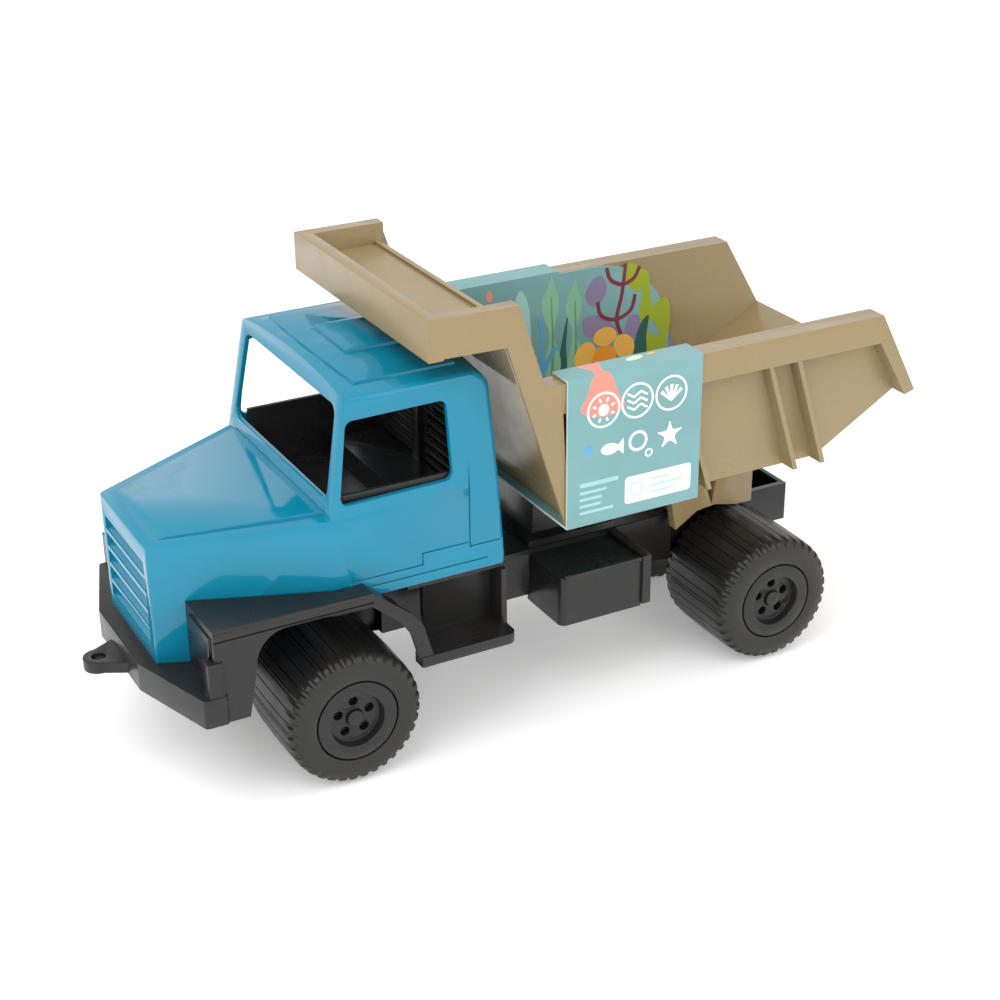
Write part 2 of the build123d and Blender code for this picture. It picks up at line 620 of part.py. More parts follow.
with BuildPart() as cab_shell:
    add(cab_outer)
    roof_rear = cab_shell.edges().filter_by(
        lambda edge: edge.center().Z > ROOF_EDGE_Z and edge.center().X < ROOF_REAR_X + 4
    )
    fillet(roof_rear, 7)
    roof_sides = cab_shell.edges().filter_by(
        lambda e: abs(e.center().Z - ROOF_EDGE_Z) < 0.3 and abs(e.center().Y) > 35 and e.length > 20
    )
    fillet(roof_sides, 2.4)
    nose_edges = cab_shell.edges().filter_by(
        lambda e: abs(e.center().X - BONNET_FRONT_X) < 0.4 and e.center().Z > DECK_TOP_Z + 1
    )
    fillet(nose_edges, 1.2)
    add(cab_inner, mode=Mode.SUBTRACT)
    add(bonnet_panel.part)
    # raised roof panel and hatch, both following the crown of the roof
    add(roof_panel.part)
    add(roof_hatch.part)
    # windscreen and side windows
    with BuildSketch(cross_plane(BONNET_FRONT_X)) as windscreen:
        with BuildLine():
            Polyline((-38.1, 93.5), (38.1, 93.5), (36.1, 122.9), (-36.1, 122.9), close=True)
        make_face()
        fillet(windscreen.vertices(), 3.5)
    extrude(amount=-70, mode=Mode.SUBTRACT)
    with BuildSketch(side_plane(60)) as side_window:
        with BuildLine():
            Polyline((154.6, 119.2), (120.9, 119.6), (119.5, 92.9), (158.1, 92.2), close=True)
        make_face()
        fillet(side_window.vertices(), 2.6)
    extrude(amount=120, mode=Mode.SUBTRACT)
    # slanted grille louvres
    for row in range(LOUVRE_COUNT):
        top = LOUVRE_TOP_Z - row * LOUVRE_PITCH
        with BuildSketch(side_plane(LOUVRE_HALF_WIDTH)):
            with BuildLine():
                Polyline(
                    (BONNET_FRONT_X + 1, top),
                    (BONNET_FRONT_X - NOSE_WALL - 1, top),
                    (BONNET_FRONT_X - NOSE_WALL - 1, top - LOUVRE_GAP * 0.35),
                    (BONNET_FRONT_X - 0.4, top - LOUVRE_GAP),
                    (BONNET_FRONT_X + 1, top - LOUVRE_GAP),
                    close=True,
                )
            make_face()
        extrude(amount=2 * LOUVRE_HALF_WIDTH, mode=Mode.SUBTRACT)
    # panel lines on both doors
    for side in (-1, 1):
        with BuildSketch(side_plane(side * CAB_HALF_WIDTH)):
            with Locations((114.2, 93.0)):
                Rectangle(PANEL_LINE, 50)
            with Locations((107.5, 68.4)):
                Rectangle(13.4, PANEL_LINE)
            with Locations((122.5, 70.0), (147.0, 66.0)):
                Rectangle(17.0, PANEL_LINE)
            with Locations((131.0, 68.0)):
                Rectangle(PANEL_LINE, 4.4)
            with Locations((136.0, 66.0)):
                Rectangle(10.4, PANEL_LINE)
            with Locations((131.0, 63.0)):
                Rectangle(46.0, PANEL_LINE)
        extrude(amount=PANEL_LINE, both=True, mode=Mode.SUBTRACT)
    # screw lugs on the rear wall and bosses under the bonnet
    for side in (-1, 1):
        with Locations((CAB_REAR_X + 1, side * CAB_SCREW_REAR[1], CAB_FLOOR_Z)):
            Box(11, 8, 12.4, align=(Align.MIN, Align.CENTER, Align.MIN))
    boss_points = pair(CAB_SCREW_FRONT)
    with BuildSketch(Plane.XY.offset(FRAME_TOP_Z)):
        with Locations(*boss_points):
            Circle(3.2)
    extrude(amount=SCUTTLE_Z - FRAME_TOP_Z - 3.5)
    with BuildSketch(Plane.XY.offset(FRAME_TOP_Z - 1)):
        with Locations(*boss_points, *pair(CAB_SCREW_REAR)):
            Circle(SCREW_RADIUS)
    extrude(amount=18, mode=Mode.SUBTRACT)
save(cab_shell, "cab_shell")


# ---- cab interior ---------------------------------------------------------------------------
INTERIOR_FLOOR_Z = 72.0
INTERIOR_HALF_WIDTH = 37.0
INTERIOR_REAR_X = 104.0
INTERIOR_FRONT_X = 156.0
RIB_PITCH = 3.6
RIB_ROWS = 11
SIDE_TRIM_Y = 38.2  # inner face of the trim beside the doors
SIDE_TRIM_TOP_Z = 94.6
DASH_HEIGHT = 9.0
REAR_PANEL_HEIGHT = 46.0

with BuildPart() as cab_interior:
    with Locations((INTERIOR_REAR_X, 0, INTERIOR_FLOOR_Z)):
        Box(
            INTERIOR_FRONT_X - INTERIOR_REAR_X,
            2 * SIDE_TRIM_Y + 1,
            1.6,
            align=(Align.MIN, Align.CENTER, Align.MIN),
        )
    # rear panel with a middle post and two fields of ribs
    with Locations((INTERIOR_REAR_X + 4.4, 0, INTERIOR_FLOOR_Z)):
        Box(1.6, 2 * INTERIOR_HALF_WIDTH - 1, REAR_PANEL_HEIGHT, align=(Align.MIN, Align.CENTER, Align.MIN))
        Box(4.0, 5, REAR_PANEL_HEIGHT, align=(Align.MIN, Align.CENTER, Align.MIN))
    for side in (-1, 1):
        for row in range(RIB_ROWS):
            with Locations((INTERIOR_REAR_X + 5, side * 19.5, INTERIOR_FLOOR_Z + 7 + row * RIB_PITCH)):
                Box(2.2, 29, 1.4, align=(Align.MIN, Align.CENTER, Align.MIN))
    # bench and dashboard
    with Locations((INTERIOR_REAR_X + 7, 0, INTERIOR_FLOOR_Z)):
        Box(18, 60, 10, align=(Align.MIN, Align.CENTER, Align.MIN))
    with Locations((INTERIOR_FRONT_X - 7, 0, INTERIOR_FLOOR_Z)):
        Box(7, 2 * INTERIOR_HALF_WIDTH, DASH_HEIGHT, align=(Align.MIN, Align.CENTER, Align.MIN))
    # door trim up to the window sills
    for side in (-1, 1):
        with Locations((INTERIOR_REAR_X + 4.4, side * SIDE_TRIM_Y, INTERIOR_FLOOR_Z)):
            Box(
                INTERIOR_FRONT_X - INTERIOR_REAR_X - 4.4,
                1.4,
                SIDE_TRIM_TOP_Z - INTERIOR_FLOOR_Z,
                align=(Align.MIN, Align.MIN if side > 0 else Align.MAX, Align.MIN),
            )
    # feet that stand on the frame
    with Locations((154.0, 11, FRAME_TOP_Z), (154.0, -11, FRAME_TOP_Z)):
        Box(4, 3, INTERIOR_FLOOR_Z - FRAME_TOP_Z, align=(Align.CENTER, Align.CENTER, Align.MIN))
save(cab_interior, "cab_interior")


# ---- load body ------------------------------------------------------------------------------
BED_X = (-19.0, -54.7)  # where the floor turns up, and its rear edge
BED_REAR_Z = 94.0
BED_SKIN = 2.0
RIM_REAR_X = -40.0
RIM_FRONT_X = 91.2
STRIP_SKIN = 2.0
RIB_TOPS = (-6.4, 5.1, 40.1, 51.6)  # where each slanted rib leaves the rim
RIB_LEAN = 0.33
RIB_SKIN = 1.8
RIB_TIP_Z = 70.8
HINGE_PLATE_Y = (22.6, 26.6)
HINGE_PLATE_X = (-6.4, 27.3)
HINGE_EYE_DEPTH = 5.9  # from the pivot down to the plate's lower edge
HINGE_SKIN = 1.6  # closes the left end of the pin's bore
CANOPY_FLOOR_Z = 142.0

with BuildPart() as tipper_body:
    # tub: outer block less the load space, open at the top and the tail
    with BuildSketch(side_plane(BODY_HALF_WIDTH)):
        with BuildLine():
            Polyline(
                (bulkhead_x(FLOOR_BOTTOM_Z, BULKHEAD_RECESS), FLOOR_BOTTOM_Z),
                (BED_X[0], FLOOR_BOTTOM_Z),
                (BED_X[1], BED_REAR_Z - 2.2),
                (BED_X[1] - 0.9, BED_REAR_Z),
                (RIM_REAR_X, RIM_TOP_Z),
                (bulkhead_x(RIM_TOP_Z, BULKHEAD_RECESS), RIM_TOP_Z),
                close=True,
            )
        make_face()
    extrude(amount=2 * BODY_HALF_WIDTH)
    with BuildSketch(side_plane(BODY_HALF_WIDTH - BED_SKIN)):
        with BuildLine():
            back = BULKHEAD_RECESS + BED_SKIN
            floor_z = FLOOR_BOTTOM_Z + BED_SKIN
            Polyline(
                (bulkhead_x(floor_z, back), floor_z),
                (BED_X[0] + 0.5, floor_z),
                (BED_X[1] - 1, BED_REAR_Z + 0.9),
                (BED_X[1] - 8, BED_REAR_Z + 5),
                (BED_X[1] - 8, RIM_TOP_Z + 5),
                (bulkhead_x(RIM_TOP_Z + 5, back), RIM_TOP_Z + 5),
                close=True,
            )
        make_face()
    extrude(amount=2 * (BODY_HALF_WIDTH - BED_SKIN), mode=Mode.SUBTRACT)
    # bulkhead between the strips, from floor to canopy
    with BuildSketch(side_plane(RIM_HALF_WIDTH - 1)):
        with BuildLine():
            Polyline(
                (bulkhead_x(FLOOR_BOTTOM_Z, BULKHEAD_RECESS), FLOOR_BOTTOM_Z),
                (bulkhead_x(CANOPY_FLOOR_Z + 1, BULKHEAD_RECESS), CANOPY_FLOOR_Z + 1),
                (bulkhead_x(CANOPY_FLOOR_Z + 1, BULKHEAD_RECESS + BED_SKIN), CANOPY_FLOOR_Z + 1),
                (bulkhead_x(FLOOR_BOTTOM_Z, BULKHEAD_RECESS + BED_SKIN), FLOOR_BOTTOM_Z),
                close=True,
            )
        make_face()
    extrude(amount=2 * (RIM_HALF_WIDTH - 1))
    # canopy floor and its rim on three sides
    with Locations((bulkhead_x(CANOPY_FLOOR_Z, BULKHEAD_RECESS + 1), 0, CANOPY_FLOOR_Z - BED_SKIN)):
        Box(
            CANOPY_FRONT_X - 1 - bulkhead_x(CANOPY_FLOOR_Z, BULKHEAD_RECESS + 1),
            2 * (RIM_HALF_WIDTH - 1),
            BED_SKIN,
            align=(Align.MIN, Align.CENTER, Align.MIN),
        )
    with Locations((CANOPY_FRONT_X, 0, CANOPY_BOTTOM_Z)):
        Box(
            CANOPY_RIM,
            2 * RIM_HALF_WIDTH,
            CANOPY_TOP_Z - CANOPY_BOTTOM_Z,
            align=(Align.MAX, Align.CENTER, Align.MIN),
        )
    for side in (-1, 1):
        inward = side_plane(side * RIM_HALF_WIDTH) if side > 0 else side_plane(-RIM_HALF_WIDTH + STRIP_SKIN)
        # strip beside the bulkhead, with the outer face of the canopy rim and of the body rim
        with BuildSketch(inward):
            with BuildLine():
                Polyline(
                    (bulkhead_x(FLOOR_BOTTOM_Z), FLOOR_BOTTOM_Z),
                    (bulkhead_x(CANOPY_BOTTOM_Z), CANOPY_BOTTOM_Z),
                    (CANOPY_FRONT_X, CANOPY_BOTTOM_Z + 0.6),
                    (CANOPY_FRONT_X, CANOPY_TOP_Z),
                    (100.4, CANOPY_TOP_Z),
                    (RIM_FRONT_X, RIM_TOP_Z),
                    (85.6, RIM_TOP_Z),
                    (BULKHEAD_FOOT_X - 0.6, FLOOR_BOTTOM_Z),
                    close=True,
                )
            make_face()
        extrude(amount=STRIP_SKIN)
        with BuildSketch(inward):
            with BuildLine():
                Polyline(
                    (86.0, RIM_TOP_Z - RIM_DEPTH),
                    (86.0, RIM_TOP_Z),
                    (RIM_REAR_X, RIM_TOP_Z),
                    (RIM_REAR_X - RIM_DEPTH * 0.5, RIM_TOP_Z - RIM_DEPTH),
                    close=True,
                )
            make_face()
        extrude(amount=STRIP_SKIN)
        # top of the body rim
        with Locations((RIM_REAR_X, side * (BODY_HALF_WIDTH - BED_SKIN), RIM_TOP_Z - STRIP_SKIN)):
            Box(
                RIM_FRONT_X + 5 - RIM_REAR_X,
                RIM_HALF_WIDTH - BODY_HALF_WIDTH + BED_SKIN,
                STRIP_SKIN,
                align=(Align.MIN, Align.MIN if side > 0 else Align.MAX, Align.MIN),
            )
        # top of the canopy's side rim
        with Locations((100.4, side * RIM_HALF_WIDTH, CANOPY_FLOOR_Z - BED_SKIN)):
            Box(
                CANOPY_FRONT_X - 100.4,
                CANOPY_RIM,
                CANOPY_TOP_Z - CANOPY_FLOOR_Z + BED_SKIN,
                align=(Align.MIN, Align.MAX if side > 0 else Align.MIN, Align.MIN),
            )
        # flange round the tail
        outside = side_plane(RIM_HALF_WIDTH) if side > 0 else side_plane(-BODY_HALF_WIDTH + BED_SKIN)
        with BuildSketch(outside):
            with BuildLine():
                Polyline(
                    (RIM_REAR_X, RIM_TOP_Z),
                    (TAIL_X, BED_REAR_Z - 3.3),
                    (TAIL_X + 4.0, BED_REAR_Z - 4.6),
                    (RIM_REAR_X + 4.5, RIM_TOP_Z - 3),
                    (RIM_REAR_X + 4.5, RIM_TOP_Z),
                    close=True,
                )
            make_face()
        extrude(amount=RIM_HALF_WIDTH - BODY_HALF_WIDTH + BED_SKIN)
        # slanted ribs; those that the card band covers end at the floor
        ribs = side_plane(RIM_HALF_WIDTH - 0.5) if side > 0 else side_plane(-BODY_HALF_WIDTH + 1)
        for top_x in RIB_TOPS:
            covered = top_x - RIB_LEAN * (RIM_TOP_Z - FLOOR_BOTTOM_Z) > 20
            foot_z = FLOOR_BOTTOM_Z if covered else RIB_TIP_Z
            foot_x = top_x - RIB_LEAN * (RIM_TOP_Z - RIM_DEPTH - foot_z)
            with BuildSketch(ribs):
                with BuildLine():
                    Polyline(
                        (top_x, RIM_TOP_Z - RIM_DEPTH + 2),
                        (foot_x, foot_z),
                        (foot_x + RIB_SKIN, foot_z),
                        (top_x + RIB_SKIN, RIM_TOP_Z - RIM_DEPTH + 2),
                        close=True,
                    )
                make_face()
            extrude(amount=RIM_HALF_WIDTH - 0.5 - BODY_HALF_WIDTH + 1)
        # hinge plate, arched over the wheel
        plate_y = HINGE_PLATE_Y[1] if side > 0 else -HINGE_PLATE_Y[0]
        with BuildSketch(side_plane(plate_y)):
            with BuildLine():
                Polyline(
                    (HINGE_PLATE_X[0], FLOOR_BOTTOM_Z + 1),
                    (HINGE_PLATE_X[0], PIVOT_Z - HINGE_EYE_DEPTH),
                    (0, PIVOT_Z - HINGE_EYE_DEPTH),
                    (9.2, PIVOT_Z - 3.8),
                    (16.6, PIVOT_Z - 4.6),
                    (HINGE_PLATE_X[1] - 2, PIVOT_Z - 10),
                    (HINGE_PLATE_X[1], PIVOT_Z),
                    (HINGE_PLATE_X[1], FLOOR_BOTTOM_Z + 1),
                    close=True,
                )
            make_face()
        extrude(amount=HINGE_PLATE_Y[1] - HINGE_PLATE_Y[0])
        with BuildSketch(side_plane(plate_y + 1)):
            with BuildLine():
                Polyline((9.2, 61.0), (13.6, 61.0), (10.6, 52.0), close=True)
            make_face()
        extrude(amount=HINGE_PLATE_Y[1] - HINGE_PLATE_Y[0] + 2, mode=Mode.SUBTRACT)
    # bore for the pin, closed on the left and open on the right
    with BuildSketch(side_plane(HINGE_PLATE_Y[1] - HINGE_SKIN)):
        with Locations((0, PIVOT_Z)):
            Circle(PIN_RADIUS + RUNNING_GAP)
    extrude(amount=2 * HINGE_PLATE_Y[1], mode=Mode.SUBTRACT)
save(tipper_body, "tipper_body")


# ---- card sleeve ----------------------------------------------------------------------------
SLEEVE_BOTTOM_Z = FLOOR_BOTTOM_Z - 0.2 - CARD
SLEEVE_TOP_Z = RIM_TOP_Z + 0.2 + CARD
PANEL_Y = BODY_HALF_WIDTH - BED_SKIN - 0.3  # outer face of the panel inside the right wall
PANEL_REAR_X = -14.5
PANEL_ARCH_RADIUS = 33.0
PANEL_BOTTOM_Z = FLOOR_BOTTOM_Z + BED_SKIN + 2.6  # it hangs clear of the load floor

with BuildPart() as cardboard_sleeve:
    # band: down the left side, under the bed, up the right side and over both rims
    with BuildSketch(cross_plane(SLEEVE_REAR_X)):
        with BuildLine():
            outer = SLEEVE_INNER_Y + CARD
            fold = PANEL_Y - CARD
            Polyline(
                (fold, SLEEVE_TOP_Z - 4),
                (fold, SLEEVE_TOP_Z),
                (outer, SLEEVE_TOP_Z),
                (outer, SLEEVE_BOTTOM_Z),
                (-outer, SLEEVE_BOTTOM_Z),
                (-outer, SLEEVE_TOP_Z),
                (-fold, SLEEVE_TOP_Z),
                (-fold, SLEEVE_TOP_Z - 4),
                (-PANEL_Y, SLEEVE_TOP_Z - 4),
                (-PANEL_Y, SLEEVE_TOP_Z - CARD),
                (-SLEEVE_INNER_Y, SLEEVE_TOP_Z - CARD),
                (-SLEEVE_INNER_Y, SLEEVE_BOTTOM_Z + CARD),
                (SLEEVE_INNER_Y, SLEEVE_BOTTOM_Z + CARD),
                (SLEEVE_INNER_Y, SLEEVE_TOP_Z - CARD),
                (PANEL_Y, SLEEVE_TOP_Z - CARD),
                (PANEL_Y, SLEEVE_TOP_Z - 4),
                close=True,
            )
        make_face()
    extrude(amount=SLEEVE_FRONT_X - SLEEVE_REAR_X)
    # arched panel that stands inside the right wall
    with BuildSketch(side_plane(-PANEL_Y + CARD)) as arched_panel:
        with BuildLine():
            Polyline(
                (SLEEVE_FRONT_X, SLEEVE_TOP_Z - 1),
                (PANEL_REAR_X, SLEEVE_TOP_Z - 1),
                (PANEL_REAR_X, PANEL_BOTTOM_Z),
                (bulkhead_x(PANEL_BOTTOM_Z, BULKHEAD_RECESS + BED_SKIN + 1), PANEL_BOTTOM_Z),
                close=True,
            )
        make_face()
        fillet(arched_panel.vertices().group_by(Axis.X)[0].sort_by(Axis.Y)[-1], PANEL_ARCH_RADIUS)
    extrude(amount=CARD)
save(cardboard_sleeve, "cardboard_sleeve")


# ---- hinge hardware -------------------------------------------------------------------------
PIN_LEFT_Y = HINGE_PLATE_Y[1] - HINGE_SKIN - FIT_GAP
CLIP_Y = -HINGE_PLATE_Y[1] - FIT_GAP
CLIP_RADIUS = 3.8
CLIP_THICKNESS = 0.8
PIN_END = 1.2  # length of pin beyond the clip

with BuildPart() as hinge_pin:
    with BuildSketch(side_plane(PIN_LEFT_Y)):
        with Locations((0, PIVOT_Z)):
            Circle(PIN_RADIUS)
    extrude(amount=PIN_LEFT_Y - CLIP_Y + CLIP_THICKNESS + PIN_END)
    chamfer(hinge_pin.edges().filter_by(GeomType.CIRCLE), 0.4)
save(hinge_pin, "hinge_pin")

with BuildPart() as hinge_clip:
    with BuildSketch(side_plane(CLIP_Y)):
        with Locations((0, PIVOT_Z)):
            Circle(CLIP_RADIUS)
            Circle(PIN_RADIUS, mode=Mode.SUBTRACT)
    extrude(amount=CLIP_THICKNESS)
save(hinge_clip, "hinge_clip")


# ---- screws ---------------------------------------------------------------------------------
def save_screws(name, screws):
    """Write a group of identical screws given as (x, y, z of the seat under the head, length)."""
    with BuildPart() as group:
        for x, y, seat_z, length in screws:
            with BuildSketch(Plane.XY.offset(seat_z - SCREW_HEAD_HEIGHT)):
                with Locations((x, y)):
                    Circle(SCREW_HEAD_RADIUS)
                    RegularPolygon(1.0, 6, mode=Mode.SUBTRACT)
            extrude(amount=SCREW_HEAD_HEIGHT)
            with BuildSketch(Plane.XY.offset(seat_z - 0.6)):
                with Locations((x, y)):
                    Circle(SCREW_RADIUS)
            extrude(amount=length + 0.6)
    save(group, name)


save_screws(
    "cab_screws",
    [(x, y, WEB_BOTTOM_Z, 16.0) for x, y in pair(CAB_SCREW_REAR)]
    + [(x, y, WEB_BOTTOM_Z, 14.0) for x, y in pair(CAB_SCREW_FRONT)],
)
save_screws(
    "moulding_screws",
    [(x, y, WEB_BOTTOM_Z, 8.0) for x, y in pair(MOULDING_SCREW_REAR)]
    + [(x, y, FRAME_BOTTOM_Z, 10.5) for x, y in NOSE_SCREW_POINTS],
)


# ---- axles, hubs and tyres ------------------------------------------------------------------
HUB_RADIUS = 14.0
HUB_RECESS_RADIUS = 9.2
HUB_RECESS_DEPTH = 3.2
HUB_BOSS_RADIUS = 3.0
HUB_HOLE_RADIUS = 1.5
HUB_HOLE_PITCH_RADIUS = 5.6
HUB_HOLES = 5
AXLE_END_Y = 47.5
WHEEL_INNER_Y = WHEEL_OUTER_Y - WHEEL_WIDTH
SHOULDER = 2.4
TREAD_NOTCHES = 36
NOTCH_DEPTH = 1.2

for axle_name, axle_x in (("rear_axle", 0.0), ("front_axle", WHEELBASE)):
    with BuildPart() as axle:
        with BuildSketch(side_plane(AXLE_END_Y)):
            with Locations((axle_x, WHEEL_RADIUS)):
                Circle(AXLE_RADIUS)
        extrude(amount=2 * AXLE_END_Y)
        chamfer(axle.edges().filter_by(GeomType.CIRCLE), 0.4)
    save(axle, axle_name)


def wheel_profile_plane(axle_x):
    """Plane through a wheel's axis; local x is outboard along +Y, local y is the radius."""
    return Plane(origin=(axle_x, 0, WHEEL_RADIUS), x_dir=(0, 1, 0), z_dir=(1, 0, 0))


def make_hub(axle_x, side):
    """One hub: barrel with a drilled outer disc, pressed on the axle."""
    with BuildPart() as hub:
        with BuildSketch(wheel_profile_plane(axle_x)):
            with BuildLine():
                Polyline(
                    (WHEEL_INNER_Y, AXLE_RADIUS),
                    (WHEEL_INNER_Y, 5.0),
                    (WHEEL_OUTER_Y - 9.0, 5.0),
                    (WHEEL_OUTER_Y - 9.0, HUB_RADIUS - 2.5),
                    (WHEEL_INNER_Y + 1.5, HUB_RADIUS - 2.5),
                    (WHEEL_INNER_Y + 1.5, HUB_RADIUS),
                    (WHEEL_OUTER_Y - 1.2, HUB_RADIUS),
                    (WHEEL_OUTER_Y - 1.2, HUB_RADIUS - 0.5),
                    (WHEEL_OUTER_Y, HUB_RADIUS - 0.5),
                    (WHEEL_OUTER_Y, HUB_RECESS_RADIUS),
                    (WHEEL_OUTER_Y - HUB_RECESS_DEPTH, HUB_RECESS_RADIUS - 0.6),
                    (WHEEL_OUTER_Y - HUB_RECESS_DEPTH, HUB_BOSS_RADIUS),
                    (WHEEL_OUTER_Y - 1.6, HUB_BOSS_RADIUS - 0.3),
                    (WHEEL_OUTER_Y - 1.6, 0),
                    (AXLE_END_Y, 0),
                    (AXLE_END_Y, AXLE_RADIUS),
                    close=True,
                )
            make_face()
        revolve(axis=Axis((axle_x, 0, WHEEL_RADIUS), (0, 1, 0)))
        with BuildSketch(side_plane(WHEEL_OUTER_Y)):
            with Locations((axle_x, WHEEL_RADIUS)):
                with PolarLocations(HUB_HOLE_PITCH_RADIUS, HUB_HOLES, start_angle=18):
                    Circle(HUB_HOLE_RADIUS)
        extrude(amount=HUB_RECESS_DEPTH + 3, mode=Mode.SUBTRACT)
        if side < 0:
            mirror(about=Plane.XZ, mode=Mode.REPLACE)
    return hub


def make_tyre(axle_x, side):
    """One tyre with notched shoulders and shallow cross grooves."""
    with BuildPart() as tyre:
        with BuildSketch(wheel_profile_plane(axle_x)):
            with BuildLine():
                Polyline(
                    (WHEEL_INNER_Y, HUB_RADIUS),
                    (WHEEL_INNER_Y, WHEEL_RADIUS - SHOULDER),
                    (WHEEL_INNER_Y + SHOULDER, WHEEL_RADIUS),
                    (WHEEL_OUTER_Y - SHOULDER, WHEEL_RADIUS),
                    (WHEEL_OUTER_Y, WHEEL_RADIUS - SHOULDER),
                    (WHEEL_OUTER_Y, HUB_RADIUS),
                    close=True,
                )
            make_face()
        revolve(axis=Axis((axle_x, 0, WHEEL_RADIUS), (0, 1, 0)))
        for y in (WHEEL_INNER_Y + SHOULDER + 1, WHEEL_OUTER_Y + 0.1):
            with BuildSketch(side_plane(y)):
                with Locations((axle_x, WHEEL_RADIUS)):
                    with PolarLocations(WHEEL_RADIUS + 0.6, TREAD_NOTCHES):
                        Circle(NOTCH_DEPTH)
            extrude(amount=SHOULDER + 1.2, mode=Mode.SUBTRACT)
        if side < 0:
            mirror(about=Plane.XZ, mode=Mode.REPLACE)
    return tyre


for end_name, axle_x in (("rear", 0.0), ("front", WHEELBASE)):
    for side_name, side in (("left", 1), ("right", -1)):
        save(make_hub(axle_x, side), f"hub_{end_name}_{side_name}")
        save(make_tyre(axle_x, side), f"tyre_{end_name}_{side_name}")
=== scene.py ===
"""Looks of the toy tipper truck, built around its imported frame. Metres, +X to the front, +Z up."""

import json
import math

import bmesh
import bpy
from mathutils import Matrix, Vector


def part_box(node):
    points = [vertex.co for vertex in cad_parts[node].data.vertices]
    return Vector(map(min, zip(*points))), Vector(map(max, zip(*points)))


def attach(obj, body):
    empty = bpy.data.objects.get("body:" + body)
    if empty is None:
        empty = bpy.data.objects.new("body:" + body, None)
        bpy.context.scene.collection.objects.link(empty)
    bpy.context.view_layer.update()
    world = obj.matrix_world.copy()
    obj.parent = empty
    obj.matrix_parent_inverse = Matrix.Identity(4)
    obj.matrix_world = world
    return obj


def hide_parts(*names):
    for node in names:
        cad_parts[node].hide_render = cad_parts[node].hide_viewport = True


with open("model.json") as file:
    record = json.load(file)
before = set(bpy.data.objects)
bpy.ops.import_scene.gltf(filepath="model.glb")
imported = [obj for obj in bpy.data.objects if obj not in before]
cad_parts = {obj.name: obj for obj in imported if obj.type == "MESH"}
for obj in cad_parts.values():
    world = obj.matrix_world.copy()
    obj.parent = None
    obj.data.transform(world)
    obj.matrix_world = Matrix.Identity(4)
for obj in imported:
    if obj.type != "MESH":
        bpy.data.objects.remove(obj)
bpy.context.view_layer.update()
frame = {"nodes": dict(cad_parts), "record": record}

MM = 0.001

# ---- colours, linear RGB --------------------------------------------------------------------
BLUE = (0.004, 0.226, 0.360)
KHAKI = (0.300, 0.222, 0.108)
BLACK = (0.0145, 0.0134, 0.0128)
RUBBER = (0.0175, 0.0162, 0.0152)
STEEL = (0.52, 0.51, 0.49)
TEAL = (0.178, 0.365, 0.375)
CARD_EDGE = (0.74, 0.76, 0.72)


# ---- material helpers -----------------------------------------------------------------------
def new_material(name):
    """An empty node material with its Principled shader, and the object coordinates."""
    material = bpy.data.materials.new(name)
    material.use_nodes = True
    tree = material.node_tree
    shader = tree.nodes["Principled BSDF"]
    place = tree.nodes.new("ShaderNodeTexCoord").outputs["Object"]
    return material, tree, shader, place


def noise_value(tree, place, scale, detail=3.0, roughness=0.55):
    """Noise between 0 and 1 at a scale given as features per metre."""
    node = tree.nodes.new("ShaderNodeTexNoise")
    node.inputs["Scale"].default_value = scale
    node.inputs["Detail"].default_value = detail
    node.inputs["Roughness"].default_value = roughness
    tree.links.new(place, node.inputs["Vector"])
    return node.outputs["Fac"]


def spread(tree, value, low, high, start=0.3, end=0.7):
    """A value mapped from start..end to low..high."""
    node = tree.nodes.new("ShaderNodeMapRange")
    node.inputs["From Min"].default_value = start
    node.inputs["From Max"].default_value = end
    node.inputs["To Min"].default_value = low
    node.inputs["To Max"].default_value = high
    tree.links.new(value, node.inputs["Value"])
    return node.outputs["Result"]


def mixed(tree, factor, first, second):
    """A colour between two colours; each is a tuple or a socket."""
    node = tree.nodes.new("ShaderNodeMix")
    node.data_type = "RGBA"
    tree.links.new(factor, node.inputs["Factor"])
    for socket, colour in ((node.inputs["A"], first), (node.inputs["B"], second)):
        if isinstance(colour, tuple):
            socket.default_value = (*colour, 1.0)
        else:
            tree.links.new(colour, socket)
    return node.outputs["Result"]


def math_node(tree, operation, first, second=0.0):
    """One Math node; each input is a number or a socket."""
    node = tree.nodes.new("ShaderNodeMath")
    node.operation = operation
    for socket, value in zip(node.inputs, (first, second)):
        if isinstance(value, (int, float)):
            socket.default_value = value
        else:
            tree.links.new(value, socket)
    return node.outputs["Value"]


def scaled(colour, factor):
    return tuple(channel * factor for channel in colour)


def bump(tree, shader, height, distance, strength=1.0, under=None):
    """A Bump node on the shader, on top of another one if given."""
    node = tree.nodes.new("ShaderNodeBump")
    node.inputs["Distance"].default_value = distance
    node.inputs["Strength"].default_value = strength
    tree.links.new(height, node.inputs["Height"])
    if under:
        tree.links.new(under, node.inputs["Normal"])
    tree.links.new(node.outputs["Normal"], shader.inputs["Normal"])
    return node.outputs["Normal"]


